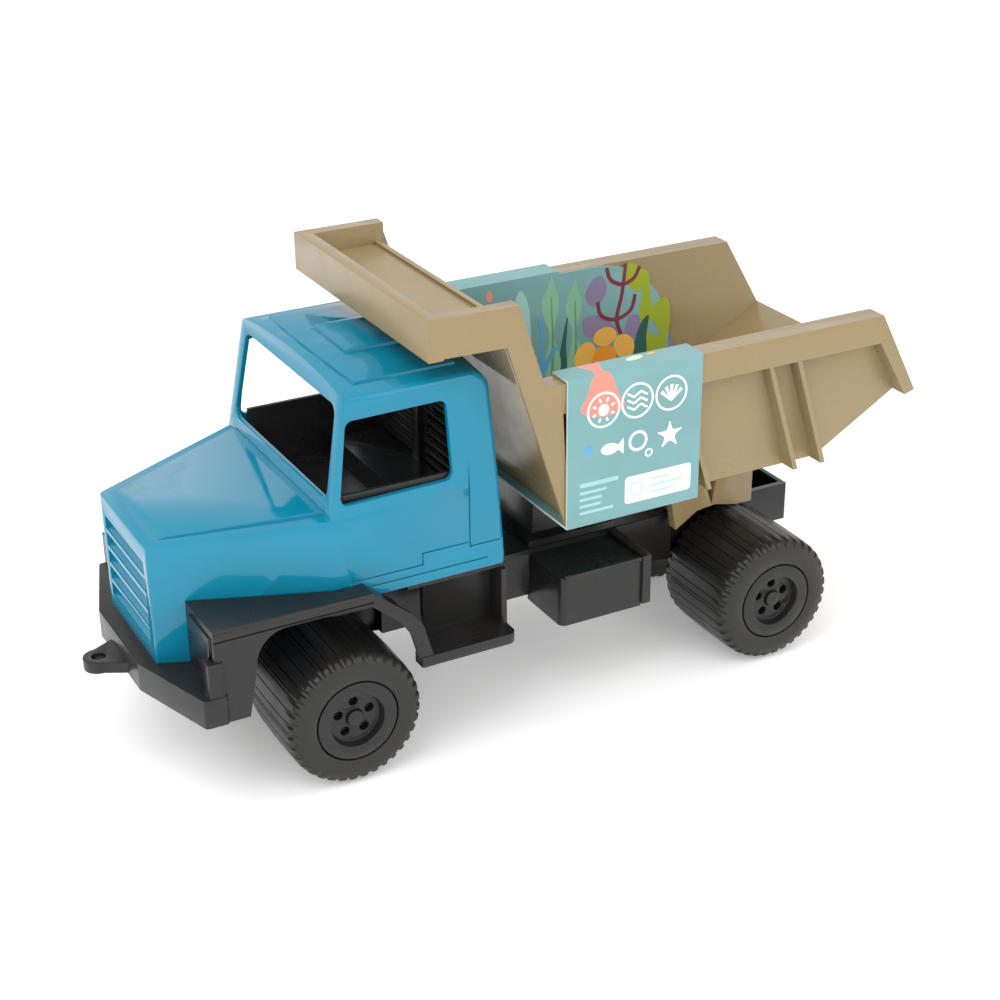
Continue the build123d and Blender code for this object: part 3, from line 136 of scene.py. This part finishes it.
def moulded_plastic(name, colour, gloss, wave, grain, scuff=1.35, mottle=0.06):
    """Injection-moulded plastic: slow colour drift, sink-mark waves, fine grain and faint scuffs."""
    material, tree, shader, place = new_material(name)
    drift = noise_value(tree, place, 28, 2.0)
    dark, pale = scaled(colour, 1 - mottle), scaled(colour, 1 + mottle)
    tinted = mixed(tree, spread(tree, drift, 0, 1), dark, pale)
    scuffs = noise_value(tree, place, 420, 6.0, 0.75)
    marks = spread(tree, scuffs, 0.0, 0.5, 0.62, 0.80)
    shade = mixed(tree, marks, tinted, scaled(colour, scuff))
    tree.links.new(shade, shader.inputs["Base Color"])
    smear = noise_value(tree, place, 65, 4.0, 0.6)
    tree.links.new(spread(tree, smear, gloss - 0.05, gloss + 0.07), shader.inputs["Roughness"])
    ripple = bump(tree, shader, noise_value(tree, place, 40, 1.0), wave * MM)
    bump(tree, shader, noise_value(tree, place, 2600, 2.0), grain * MM, 1.0, ripple)
    shader.inputs["IOR"].default_value = 1.46
    return material


blue_plastic = moulded_plastic("blue_plastic_look", BLUE, 0.07, 0.10, 0.0003, 1.10, 0.03)
khaki_plastic = moulded_plastic("khaki_plastic_look", KHAKI, 0.24, 0.18, 0.003, 1.15, 0.04)
black_plastic = moulded_plastic("black_plastic_look", BLACK, 0.28, 0.12, 0.005, 1.6, 0.10)
rubber = moulded_plastic("tyre_look", RUBBER, 0.36, 0.10, 0.006, 1.7, 0.12)


def brushed_steel():
    """Drawn steel wire: bright metal with fine streaks across the axle."""
    material, tree, shader, place = new_material("steel_look")
    shader.inputs["Metallic"].default_value = 1.0
    streaks = noise_value(tree, place, 1800, 4.0)
    tree.links.new(mixed(tree, streaks, scaled(STEEL, 0.8), STEEL), shader.inputs["Base Color"])
    tree.links.new(spread(tree, streaks, 0.24, 0.42), shader.inputs["Roughness"])
    bump(tree, shader, streaks, 0.01 * MM)
    return material


steel = brushed_steel()

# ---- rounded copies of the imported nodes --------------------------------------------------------
BODIES = frame["record"]["behaviour"]["bodies"]
BODY_OF = {node: body for body, nodes in BODIES.items() for node in nodes}
ROUNDED_ABOVE = 28  # degrees; edges flatter than this stay as they are
ROUND_SEGMENTS = 2
WELD = 0.002 * MM
FLAT = math.radians(0.6)  # faces this close to one plane are joined first


def rounded_copy(node, width, material, keep_front=0.0):
    """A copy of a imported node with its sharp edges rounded, standing for it.

    keep_front is the depth of a pierced front wall, whose triangles are left alone.
    """
    mesh = frame["nodes"][node].data.copy()
    mesh.materials.clear()
    mesh.materials.append(material)
    work = bmesh.new()
    work.from_mesh(mesh)
    bmesh.ops.remove_doubles(work, verts=work.verts, dist=WELD)
    front = max(vert.co.x for vert in work.verts) - keep_front
    corners = [vert for vert in work.verts if not keep_front or vert.co.x < front]
    edges = [
        edge for edge in work.edges
        if not keep_front or min(vert.co.x for vert in edge.verts) < front
    ]
    bmesh.ops.dissolve_limit(
        work, angle_limit=FLAT, verts=corners, edges=edges, use_dissolve_boundaries=False
    )
    for face in work.faces:
        face.material_index = 0
        face.smooth = True
    work.to_mesh(mesh)
    work.free()
    piece = bpy.data.objects.new(node + "_look", mesh)
    bpy.context.collection.objects.link(piece)
    rounding = piece.modifiers.new("round", "BEVEL")
    rounding.width = width * MM
    rounding.segments = ROUND_SEGMENTS
    rounding.limit_method = "ANGLE"
    rounding.angle_limit = math.radians(ROUNDED_ABOVE)
    rounding.use_clamp_overlap = True
    rounding.harden_normals = True
    rounding.miter_outer = "MITER_ARC"
    mesh.set_sharp_from_angle(angle=math.radians(180))
    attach(piece, BODY_OF[node])
    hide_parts(node)


STEEL_NODES = ("hinge_pin", "hinge_clip", "front_axle", "rear_axle", "cab_screws", "moulding_screws")
for node in STEEL_NODES:
    for slot in frame["nodes"][node].material_slots:
        slot.material = steel

rounded_copy("chassis_frame", 0.35, black_plastic)
rounded_copy("front_moulding", 0.45, black_plastic)
rounded_copy("cab_interior", 0.30, black_plastic)
rounded_copy("cab_shell", 0.60, blue_plastic, keep_front=6 * MM)
rounded_copy("tipper_body", 0.55, khaki_plastic)
for end in ("front", "rear"):
    for side in ("left", "right"):
        rounded_copy(f"hub_{end}_{side}", 0.25, black_plastic)


# ---- tyres --------------------------------------------------------------------------------------
TYRE_STEPS = 720  # round the tyre
BLOCKS = 36  # tread blocks round the tyre
GROOVE_DEPTH = 0.42 * MM
GROOVE_SHARE = 0.045  # half width of a groove as a share of a block
PAIR_OFFSET = 0.3  # from a groove to its pair, in blocks
PAIR_EVERY = 3  # blocks
SCALLOP_DEPTH = 1.15 * MM
SCALLOP_SHARE = 0.52  # half width of a notch as a share of half a block
BEAD_RADIUS = 14.0 * MM
SIDE_RADIUS = 20.3 * MM  # where the flat side wall ends
SIDE_STEP = 0.35 * MM  # the shoulder starts this far in from the side wall
SHOULDER = 3.2 * MM
CROWN = 0.35 * MM
SHOULDER_STEPS = 7
TREAD_STEPS = 6  # from the shoulder to the middle


def tyre_section(width, radius):
    """Outline of a tyre from bead to bead.

    Each point is (across from the outer face, radius, share of the notches, share of the grooves).
    """
    points = [
        (0.5 * MM, BEAD_RADIUS, 0, 0),
        (0.15 * MM, BEAD_RADIUS + 0.12 * MM, 0, 0),
        (0.0, BEAD_RADIUS + 0.4 * MM, 0, 0),
        (0.0, 0.5 * (BEAD_RADIUS + SIDE_RADIUS), 0, 0),
        (0.0, SIDE_RADIUS - 0.9 * MM, 0, 0),
        (0.25 * MM, SIDE_RADIUS - 0.45 * MM, 0, 0),
        (SIDE_STEP, SIDE_RADIUS, 0.0, 0),
    ]
    for step in range(1, SHOULDER_STEPS + 1):
        turn = math.pi / 2 * step / SHOULDER_STEPS
        across = SIDE_STEP + SHOULDER * (1 - math.cos(turn))
        height = SIDE_RADIUS + (radius - CROWN - SIDE_RADIUS) * math.sin(turn)
        notched = math.sin(2 * turn) ** 0.5 if step < SHOULDER_STEPS else 0.35
        points.append((across, height, notched, step / SHOULDER_STEPS))
    for step in range(1, TREAD_STEPS + 1):
        along = step / TREAD_STEPS
        across = SIDE_STEP + SHOULDER + (width / 2 - SHOULDER - SIDE_STEP) * along
        points.append((across, radius - CROWN * (1 - along ** 0.5), 0, 1))
    mirrored = [(width - across, *rest) for across, *rest in reversed(points[:-1])]
    return points + mirrored


def tread_cut(angle):
    """1 in the thin cross grooves of the tread, 0 between them; some grooves come in pairs."""
    phase = angle / (2 * math.pi) * BLOCKS
    offset = phase - round(phase)
    pair = round(phase) % PAIR_EVERY == 0 and abs(offset - PAIR_OFFSET) < GROOVE_SHARE
    return 1.0 if abs(offset) < GROOVE_SHARE or pair else 0.0


def scallop(angle):
    """Rounded notches in the shoulder, one to a block."""
    phase = angle / (2 * math.pi) * BLOCKS
    offset = abs(phase - round(phase)) * 2
    return max(0.0, 1 - (offset / SCALLOP_SHARE) ** 2) ** 0.5


def tyre_look(node, outward):
    """A moulded tyre with grooved tread and scalloped shoulders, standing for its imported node."""
    low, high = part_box(node)
    centre = (low + high) / 2
    radius = (high.z - low.z) / 2
    width = high.y - low.y
    face_y = high.y if outward > 0 else low.y
    section = tyre_section(width, radius)
    count = len(section)
    verts = []
    for step in range(TYRE_STEPS):
        angle = 2 * math.pi * step / TYRE_STEPS
        groove = tread_cut(angle)
        notch = scallop(angle)
        for across, height, side_share, tread_share in section:
            drop = max(GROOVE_DEPTH * groove * tread_share, SCALLOP_DEPTH * notch * side_share)
            reach = height - drop
            verts.append((
                centre.x + reach * math.cos(angle),
                face_y - outward * across,
                centre.z + reach * math.sin(angle),
            ))
    # the last strip, from bead to bead, is the bore
    faces = []
    for step in range(TYRE_STEPS):
        here, there = step * count, (step + 1) % TYRE_STEPS * count
        for point in range(count):
            nxt = (point + 1) % count
            quad = (here + point, here + nxt, there + nxt, there + point)
            faces.append(quad if outward > 0 else quad[::-1])
    mesh = bpy.data.meshes.new(node + "_look")
    mesh.from_pydata(verts, [], faces)
    mesh.materials.append(rubber)
    mesh.validate()
    mesh.shade_smooth()
    mesh.set_sharp_from_angle(angle=math.radians(38))
    piece = bpy.data.objects.new(node + "_look", mesh)
    bpy.context.collection.objects.link(piece)
    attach(piece, BODY_OF[node])
    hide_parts(node)


for end in ("front", "rear"):
    tyre_look(f"tyre_{end}_left", 1)
    tyre_look(f"tyre_{end}_right", -1)


# ---- card sleeve -------------------------------------------------------------------------------
def card_material(name, colour, edge_colour=CARD_EDGE):
    """Coated card: printed colour with a soft drift, bare white board on its cut edges."""
    material, tree, shader, place = new_material(name)
    drift = noise_value(tree, place, 34, 2.0)
    print_colour = mixed(tree, spread(tree, drift, 0, 1), scaled(colour, 0.93), scaled(colour, 1.06))
    if edge_colour:
        direction = tree.nodes.new("ShaderNodeSeparateXYZ")
        coordinates = tree.nodes.new("ShaderNodeTexCoord")
        tree.links.new(coordinates.outputs["Normal"], direction.inputs["Vector"])
        sideways = math_node(tree, "ABSOLUTE", direction.outputs["X"])
        cut = math_node(tree, "GREATER_THAN", sideways, 0.6)
        print_colour = mixed(tree, cut, print_colour, edge_colour)
    tree.links.new(print_colour, shader.inputs["Base Color"])
    fibres = noise_value(tree, place, 900, 5.0, 0.7)
    tree.links.new(spread(tree, fibres, 0.34, 0.46), shader.inputs["Roughness"])
    bump(tree, shader, fibres, 0.02 * MM)
    return material


card = card_material("card_look", TEAL)
rounded_copy("cardboard_sleeve", 0.18, card)

sleeve_low, sleeve_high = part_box("cardboard_sleeve")
SLEEVE_FRONT = sleeve_high.x
SLEEVE_BOTTOM = sleeve_low.z
SLEEVE_TOP = sleeve_high.z
SLEEVE_SIDE = sleeve_high.y
PANEL_FACE_Y = -41.4 * MM  # printed face of the panel inside the right wall
INK = 0.015 * MM  # thickness of one layer of print
INK_STEP = 0.003 * MM  # keeps films of one layer apart
FILM_FOOT = -0.02 * MM  # where every film starts, inside the card


def smooth_outline(points, closed=True, steps=8):
    """Catmull-Rom curve through given points."""
    count = len(points)
    curve = []
    for index in range(count if closed else count - 1):
        around = [index + shift for shift in (-1, 0, 1, 2)]
        pick = [points[i % count if closed else min(max(i, 0), count - 1)] for i in around]
        for step in range(steps):
            t = step / steps
            weights = (
                -0.5 * t + t * t - 0.5 * t ** 3,
                1 - 2.5 * t * t + 1.5 * t ** 3,
                0.5 * t + 2 * t * t - 1.5 * t ** 3,
                -0.5 * t * t + 0.5 * t ** 3,
            )
            curve.append(tuple(sum(w * p[axis] for w, p in zip(weights, pick)) for axis in (0, 1)))
    if not closed:
        curve.append(points[-1])
    return curve


def stroke(points, width, taper=1.0, steps=8):
    """Outline of a brush stroke along given points; its end is taper times as wide."""
    line = [Vector(p) for p in smooth_outline(points, False, steps)]
    left, right = [], []
    for index, point in enumerate(line):
        ahead = line[min(index + 1, len(line) - 1)] - line[max(index - 1, 0)]
        side = Vector((-ahead.y, ahead.x)).normalized()
        half = width / 2 * (1 + (taper - 1) * index / (len(line) - 1))
        left.append(tuple(point + side * half))
        right.append(tuple(point - side * half))
    return left + right[::-1]


def disc(x, y, radius, squash=1.0, turn=0.0, steps=28):
    """Outline of an ellipse."""
    outline = []
    cosine, sine = math.cos(turn), math.sin(turn)
    for step in range(steps):
        angle = 2 * math.pi * step / steps
        a, b = radius * math.cos(angle), radius * squash * math.sin(angle)
        outline.append((x + a * cosine - b * sine, y + a * sine + b * cosine))
    return outline


def ring(x, y, radius, width):
    """Two half-ring outlines that make a ring."""
    halves = []
    for start in (0, math.pi):
        turns = [start + math.pi * step / 18 for step in range(19)]
        outer, inner = (
            [(x + reach * math.cos(t), y + reach * math.sin(t)) for t in turns]
            for reach in (radius, radius - width)
        )
        halves.append(outer + inner[::-1])
    return halves


def bar(x, y, length, height, radius=0.0):
    """Outline of a bar with rounded ends, from its lower left corner."""
    radius = min(radius or height / 2, height / 2, length / 2)
    outline = []
    for cx, cy, start in (
        (x + length - radius, y + radius, -90),
        (x + length - radius, y + height - radius, 0),
        (x + radius, y + height - radius, 90),
        (x + radius, y + radius, 180),
    ):
        for step in range(6):
            angle = math.radians(start + 18 * step)
            outline.append((cx + radius * math.cos(angle), cy + radius * math.sin(angle)))
    return outline


def on_near_face(a, b, lift):
    """Millimetres back from the band's front edge and up from its bottom, on the left outer face."""
    return Vector((SLEEVE_FRONT - a * MM, SLEEVE_SIDE + lift - INK / 3, SLEEVE_BOTTOM + b * MM))


def on_panel(a, b, lift):
    """The same on the printed face of the panel inside the right wall."""
    return Vector((SLEEVE_FRONT - a * MM, PANEL_FACE_Y + lift, SLEEVE_BOTTOM + b * MM))


def on_near_rim(a, b, lift):
    """Millimetres back from the front edge and in from the outer edge, on the left rim strip."""
    return Vector((SLEEVE_FRONT - a * MM, SLEEVE_SIDE - b * MM, SLEEVE_TOP + lift - INK / 3))


def on_far_rim(a, b, lift):
    """The same on the right rim strip, in from the inner fold."""
    return Vector((SLEEVE_FRONT - a * MM, PANEL_FACE_Y - b * MM, SLEEVE_TOP + lift - 0.02 * MM))


def print_piece(name, colour, place, outlines, layer=1):
    """One colour of the print: thin closed ink films laid on the card."""
    build = bmesh.new()
    for order, outline in enumerate(outlines):
        high = INK * layer + order * INK_STEP
        bottom = [build.verts.new(place(a, b, FILM_FOOT)) for a, b in outline]
        top = [build.verts.new(place(a, b, high)) for a, b in outline]
        count = len(outline)
        build.faces.new(top)
        build.faces.new(bottom[::-1])
        for index in range(count):
            nxt = (index + 1) % count
            build.faces.new((bottom[index], bottom[nxt], top[nxt], top[index]))
    build.normal_update()
    bmesh.ops.triangulate(build, faces=[face for face in build.faces if len(face.verts) > 4])
    bmesh.ops.recalc_face_normals(build, faces=build.faces)
    mesh = bpy.data.meshes.new(name)
    build.to_mesh(mesh)
    build.free()
    mesh.materials.append(ink(colour))
    piece = bpy.data.objects.new(name, mesh)
    bpy.context.collection.objects.link(piece)
    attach(piece, "tipper")


INKS = {
    "white": (0.86, 0.88, 0.86),
    "pink": (0.85, 0.26, 0.20),
    "yellow": (0.86, 0.50, 0.10),
    "orange": (0.86, 0.33, 0.03),
    "plum": (0.20, 0.035, 0.075),
    "lime": (0.34, 0.44, 0.03),
    "mauve": (0.26, 0.22, 0.38),
    "mint": (0.24, 0.52, 0.36),
    "leaf": (0.10, 0.33, 0.17),
    "deep_leaf": (0.02, 0.12, 0.10),
    "sky": (0.10, 0.36, 0.62),
    "pale": (0.33, 0.60, 0.58),
    "cream": (0.66, 0.72, 0.52),
    "label": (0.80, 0.82, 0.83),
    "line": (0.45, 0.66, 0.66),
}
ink_made = {}


def ink(colour):
    """The printed material of one ink, made once."""
    if colour not in ink_made:
        ink_made[colour] = card_material("ink_" + colour, INKS[colour], None)
    return ink_made[colour]


# near face: three ringed pictures, then a fish, bubbles and a star, lines and a blank label
RING_ROW = ((13.1, 39.2), (25.6, 39.9), (38.4, 39.9))
rings = [half for x, y in RING_ROW for half in ring(x, y, 6.1, 0.75)]
sun_x, sun_y = RING_ROW[0]
wave_x, wave_y = RING_ROW[1]
shell_x, shell_y = RING_ROW[2]
rings += [disc(sun_x, sun_y, 2.0)]
for ray in range(8):
    turn = math.radians(45 * ray + 22)
    rings.append(disc(sun_x + 3.6 * math.cos(turn), sun_y + 3.6 * math.sin(turn), 0.8, 0.55, turn))
for row in (-2.2, 0.0, 2.2):
    steps = (-3.8, -2.5, -1.2, 0.1, 1.4, 2.7, 3.8)
    crest = [(wave_x + x, wave_y + row + 0.7 * math.sin(x * 1.25)) for x in steps]
    rings.append(stroke(crest, 0.75))
for fold in range(5):
    turn = math.radians(40 + 25 * fold)
    root = (shell_x, shell_y - 2.6)
    tip = (root[0] + 5.0 * math.cos(turn), root[1] + 5.6 * math.sin(turn))
    rings.append(stroke([root, ((root[0] + tip[0]) / 2, (root[1] + tip[1]) / 2), tip], 0.5, 2.6))
print_piece("print_rings", "white", on_near_face, rings, 3)

shapes = [disc(15.6, 25.2, 3.3, 0.6), [(17.8, 25.2), (20.8, 28.0), (20.8, 22.4)]]
shapes += ring(26.2, 25.8, 3.6, 1.0) + ring(30.4, 20.8, 1.5, 0.6)
star_points = []
for corner in range(10):
    turn = math.radians(36 * corner + 90)
    reach = 2.1 if corner % 2 else 4.9
    star_points.append((38.2 + reach * math.cos(turn), 25.4 + reach * math.sin(turn)))
shapes.append(smooth_outline(star_points, steps=4))
print_piece("print_shapes", "white", on_near_face, shapes, 1)
print_piece("print_dot", "sky", on_near_face, [disc(7.6, 26.2, 1.7)], 1)
print_piece("print_label", "label", on_near_face, [bar(21.6, 4.1, 25.4, 9.6, 1.3)], 1)
print_piece("print_label_lines", "line", on_near_face,
            [bar(31.5, 6.2 + 2.3 * row, length, 0.7) for row, length in ((0, 9.0), (1, 12.0), (2, 7.0))]
            + ring(26.2, 8.9, 2.5, 0.5), 3)
print_piece("print_lines", "pale", on_near_face,
            [bar(4.6, 4.2 + 2.35 * row, length, 1.0)
             for row, length in enumerate((12.8, 8.0, 8.4, 10.2))] + [bar(4.6, 13.7, 14.6, 1.5)], 1)

# pink sea fan: foot on the near face, stem over the rim strip
print_piece("print_fan_foot", "pink", on_near_face,
            [smooth_outline([(9.6, 51.2), (15.2, 51.2), (18.4, 44.0), (21.0, 39.2), (16.0, 37.0),
                             (9.0, 37.6), (4.8, 40.4), (7.2, 45.6)])], 1)
print_piece("print_fan_stem", "pink", on_near_rim,
            [[(9.9, 0.1), (14.7, 0.1), (14.6, 4.4), (16.6, 9.2), (8.2, 9.2), (11.4, 4.4)]], 1)
print_piece("print_petal", "cream", on_near_rim, [disc(28.6, 7.2, 3.4, 0.45, 0.2)], 1)
print_piece("print_petal_tip", "yellow", on_near_rim, [disc(35.4, 8.2, 1.6, 0.4, 0.1)], 1)


def seaweed(foot_a, foot_b, top_b, width, waves):
    """A tall frond that swells and narrows in even waves."""
    count = 9 * waves
    left, right = [], []
    for step in range(count + 1):
        along = step / count
        b = foot_b + (top_b - foot_b) * along
        swell = 0.62 + 0.38 * math.cos(2 * math.pi * waves * along + math.pi)
        end = min(1.0, (1 - along) * 7) ** 0.5
        sway = 0.5 * math.sin(2 * math.pi * along)
        left.append((foot_a + sway - width / 2 * swell * end, b))
        right.append((foot_a + sway + width / 2 * swell * end, b))
    return left + right[::-1]


# far panel: fronds, flower, branching coral and patches
print_piece("print_fronds", "mint", on_panel,
            [seaweed(47.4, 4.0, 50.6, 7.2, 2), seaweed(57.2, 4.0, 47.8, 7.0, 2)], 2)
print_piece("print_frond_stems", "leaf", on_panel,
            [stroke([(47.4, 4.0), (48.0, 22.0), (47.2, 42.0)], 1.6, 0.2),
             stroke([(57.2, 4.0), (57.8, 20.0), (57.2, 39.0)], 1.6, 0.2)], 4)
print_piece("print_dark_leaf", "deep_leaf", on_panel,
            [smooth_outline([(52.4, 5.0), (50.6, 14.0), (51.4, 22.0),
                             (54.2, 34.0), (53.6, 22.0), (54.0, 13.0)])], 1)
print_piece("print_sky_coral", "sky", on_panel,
            [stroke([(43.4, 6.0), (42.8, 16.0), (43.6, 26.0), (42.4, 35.0)], 2.4, 0.6),
             stroke([(43.2, 12.0), (45.6, 17.0), (49.4, 22.4)], 2.6, 0.7)], 5)
print_piece("print_pale_plant", "pale", on_panel,
            [smooth_outline([(30.0, 20.0), (30.6, 36.0), (34.4, 46.6), (38.2, 38.0), (38.0, 20.0)])], 1)
print_piece("print_red_dot", "pink", on_panel, [disc(22.0, 46.6, 1.3, 1.5)], 1)
print_piece("print_mauve", "mauve", on_panel,
            [smooth_outline([(61.4, 40.0), (64.6, 45.6), (68.6, 46.2),
                             (70.8, 41.4), (68.4, 36.6), (64.4, 35.4)]),
             smooth_outline([(60.6, 30.6), (66.4, 31.6), (73.6, 26.8),
                             (75.0, 21.8), (66.0, 22.6), (61.4, 25.0)]),
             smooth_outline([(78.6, 22.0), (80.4, 28.6), (84.4, 28.4), (86.2, 23.6), (82.4, 19.4)]),
             smooth_outline([(90.0, 6.0), (96.4, 10.0), (99.6, 18.0), (100.0, 6.0)])], 1)
print_piece("print_lime", "lime", on_panel,
            [smooth_outline([(76.8, 46.4), (79.6, 49.4), (84.0, 47.6),
                             (86.6, 42.8), (84.2, 37.4), (79.4, 41.6)]),
             smooth_outline([(84.2, 46.0), (88.4, 44.6), (89.6, 36.2), (90.8, 27.0),
                             (87.2, 22.6), (85.0, 29.0), (86.0, 38.0)]),
             smooth_outline([(89.8, 28.0), (93.6, 33.2), (97.6, 32.4),
                             (98.8, 24.0), (96.2, 15.4), (93.4, 21.6)]),
             smooth_outline([(86.6, 22.0), (89.0, 12.0), (96.8, 12.6), (96.4, 18.4), (91.4, 19.4)])], 2)
print_piece("print_branches", "plum", on_panel,
            [stroke([(78.2, 20.0), (75.2, 28.4), (77.2, 38.0), (78.6, 49.6)], 1.7, 0.8),
             stroke([(66.8, 36.6), (68.4, 31.2), (74.6, 28.6), (81.0, 31.0), (83.0, 37.0)], 1.5),
             stroke([(70.4, 49.2), (72.2, 44.4), (77.2, 41.8), (82.2, 43.4), (84.6, 47.6)], 1.5)], 6)
print_piece("print_dark_plant", "deep_leaf", on_panel,
            [smooth_outline([(84.0, 8.0), (83.0, 17.0), (86.0, 25.4),
                             (89.2, 27.4), (88.4, 20.0), (88.6, 8.0)])], 4)
print_piece("print_petals", "yellow", on_panel,
            [disc(61.6, 16.6, 5.4, 0.78, 1.05),
             disc(70.2, 22.6, 5.0, 0.72, 0.0),
             disc(78.6, 17.4, 5.2, 0.8, 2.2)], 7)
print_piece("print_flower_heart", "orange", on_panel, [disc(70.0, 14.8, 5.2, 0.82)], 9)
print_piece("print_flower_foot", "pink", on_panel,
            [smooth_outline([(57.6, 9.6), (63.0, 11.2), (70.0, 9.8), (77.0, 12.2), (79.0, 9.0),
                             (73.6, 6.8), (72.4, 2.0), (66.4, 2.0), (65.4, 6.6)])], 8)
print_piece("print_far_patch", "pale", on_far_rim, [disc(13.4, 3.4, 4.4, 0.5, 0.0)], 1)


# ---- floor, light and camera --------------------------------------------------------------------
def floor_material():
    """Seamless white paper with a trace of tone."""
    material, tree, shader, place = new_material("floor_look")
    tone = noise_value(tree, place, 6, 2.0)
    white = mixed(tree, tone, (0.90, 0.90, 0.90), (0.92, 0.92, 0.92))
    tree.links.new(white, shader.inputs["Base Color"])
    shader.inputs["Roughness"].default_value = 0.9
    shader.inputs["Specular IOR Level"].default_value = 0.1
    shader.inputs["Emission Color"].default_value = (1.0, 0.99, 0.98, 1.0)
    shader.inputs["Emission Strength"].default_value = 0.22
    return material


def add_floor():
    half = 6.0
    mesh = bpy.data.meshes.new("floor")
    corners = [(-half, -half, 0), (half, -half, 0), (half, half, 0), (-half, half, 0)]
    mesh.from_pydata(corners, [], [(0, 1, 2, 3)])
    mesh.materials.append(floor_material())
    floor = bpy.data.objects.new("floor", mesh)
    bpy.context.collection.objects.link(floor)


def add_lamp(name, place, target, size, power, tint=(1.0, 1.0, 1.0)):
    """A square soft box at a place, facing a target."""
    light = bpy.data.lights.new(name, "AREA")
    light.size = size
    light.energy = power
    light.color = tint
    lamp = bpy.data.objects.new(name, light)
    lamp.location = place
    lamp.rotation_euler = (Vector(target) - Vector(place)).to_track_quat("-Z", "Y").to_euler()
    bpy.context.collection.objects.link(lamp)


def add_camera():
    """The camera looks down at the truck's front left corner."""
    place = Vector((0.26952, 0.51536, 0.33994))
    yaw, pitch, roll = math.radians(-118.183), math.radians(25.663), math.radians(-0.516)
    level = math.cos(pitch)
    forward = Vector((level * math.cos(yaw), level * math.sin(yaw), -math.sin(pitch)))
    right = forward.cross(Vector((0, 0, 1))).normalized()
    up = right.cross(forward)
    tilted_right = math.cos(roll) * right + math.sin(roll) * up
    tilted_up = math.cos(roll) * up - math.sin(roll) * right
    turn = Matrix((tilted_right, tilted_up, -forward)).transposed().to_4x4()
    data = bpy.data.cameras.new("camera")
    data.lens = 67.65
    data.sensor_width = 36.0
    data.clip_start = 0.01
    camera = bpy.data.objects.new("camera", data)
    camera.matrix_world = Matrix.Translation(place) @ turn
    bpy.context.collection.objects.link(camera)
    bpy.context.scene.camera = camera


def add_world():
    world = bpy.data.worlds.new("studio")
    world.use_nodes = True
    background = world.node_tree.nodes["Background"]
    background.inputs["Color"].default_value = (1.0, 1.0, 1.0, 1.0)
    background.inputs["Strength"].default_value = 1.0
    bpy.context.scene.world = world


add_floor()
add_world()
add_lamp("key", (0.9, 0.35, 1.3), (0.0, 0.0, 0.05), 1.2, 9)
add_lamp("fill", (-0.5, 1.3, 0.9), (0.0, 0.0, 0.05), 1.2, 5)
add_camera()
bpy.context.scene.view_settings.view_transform = "Standard"
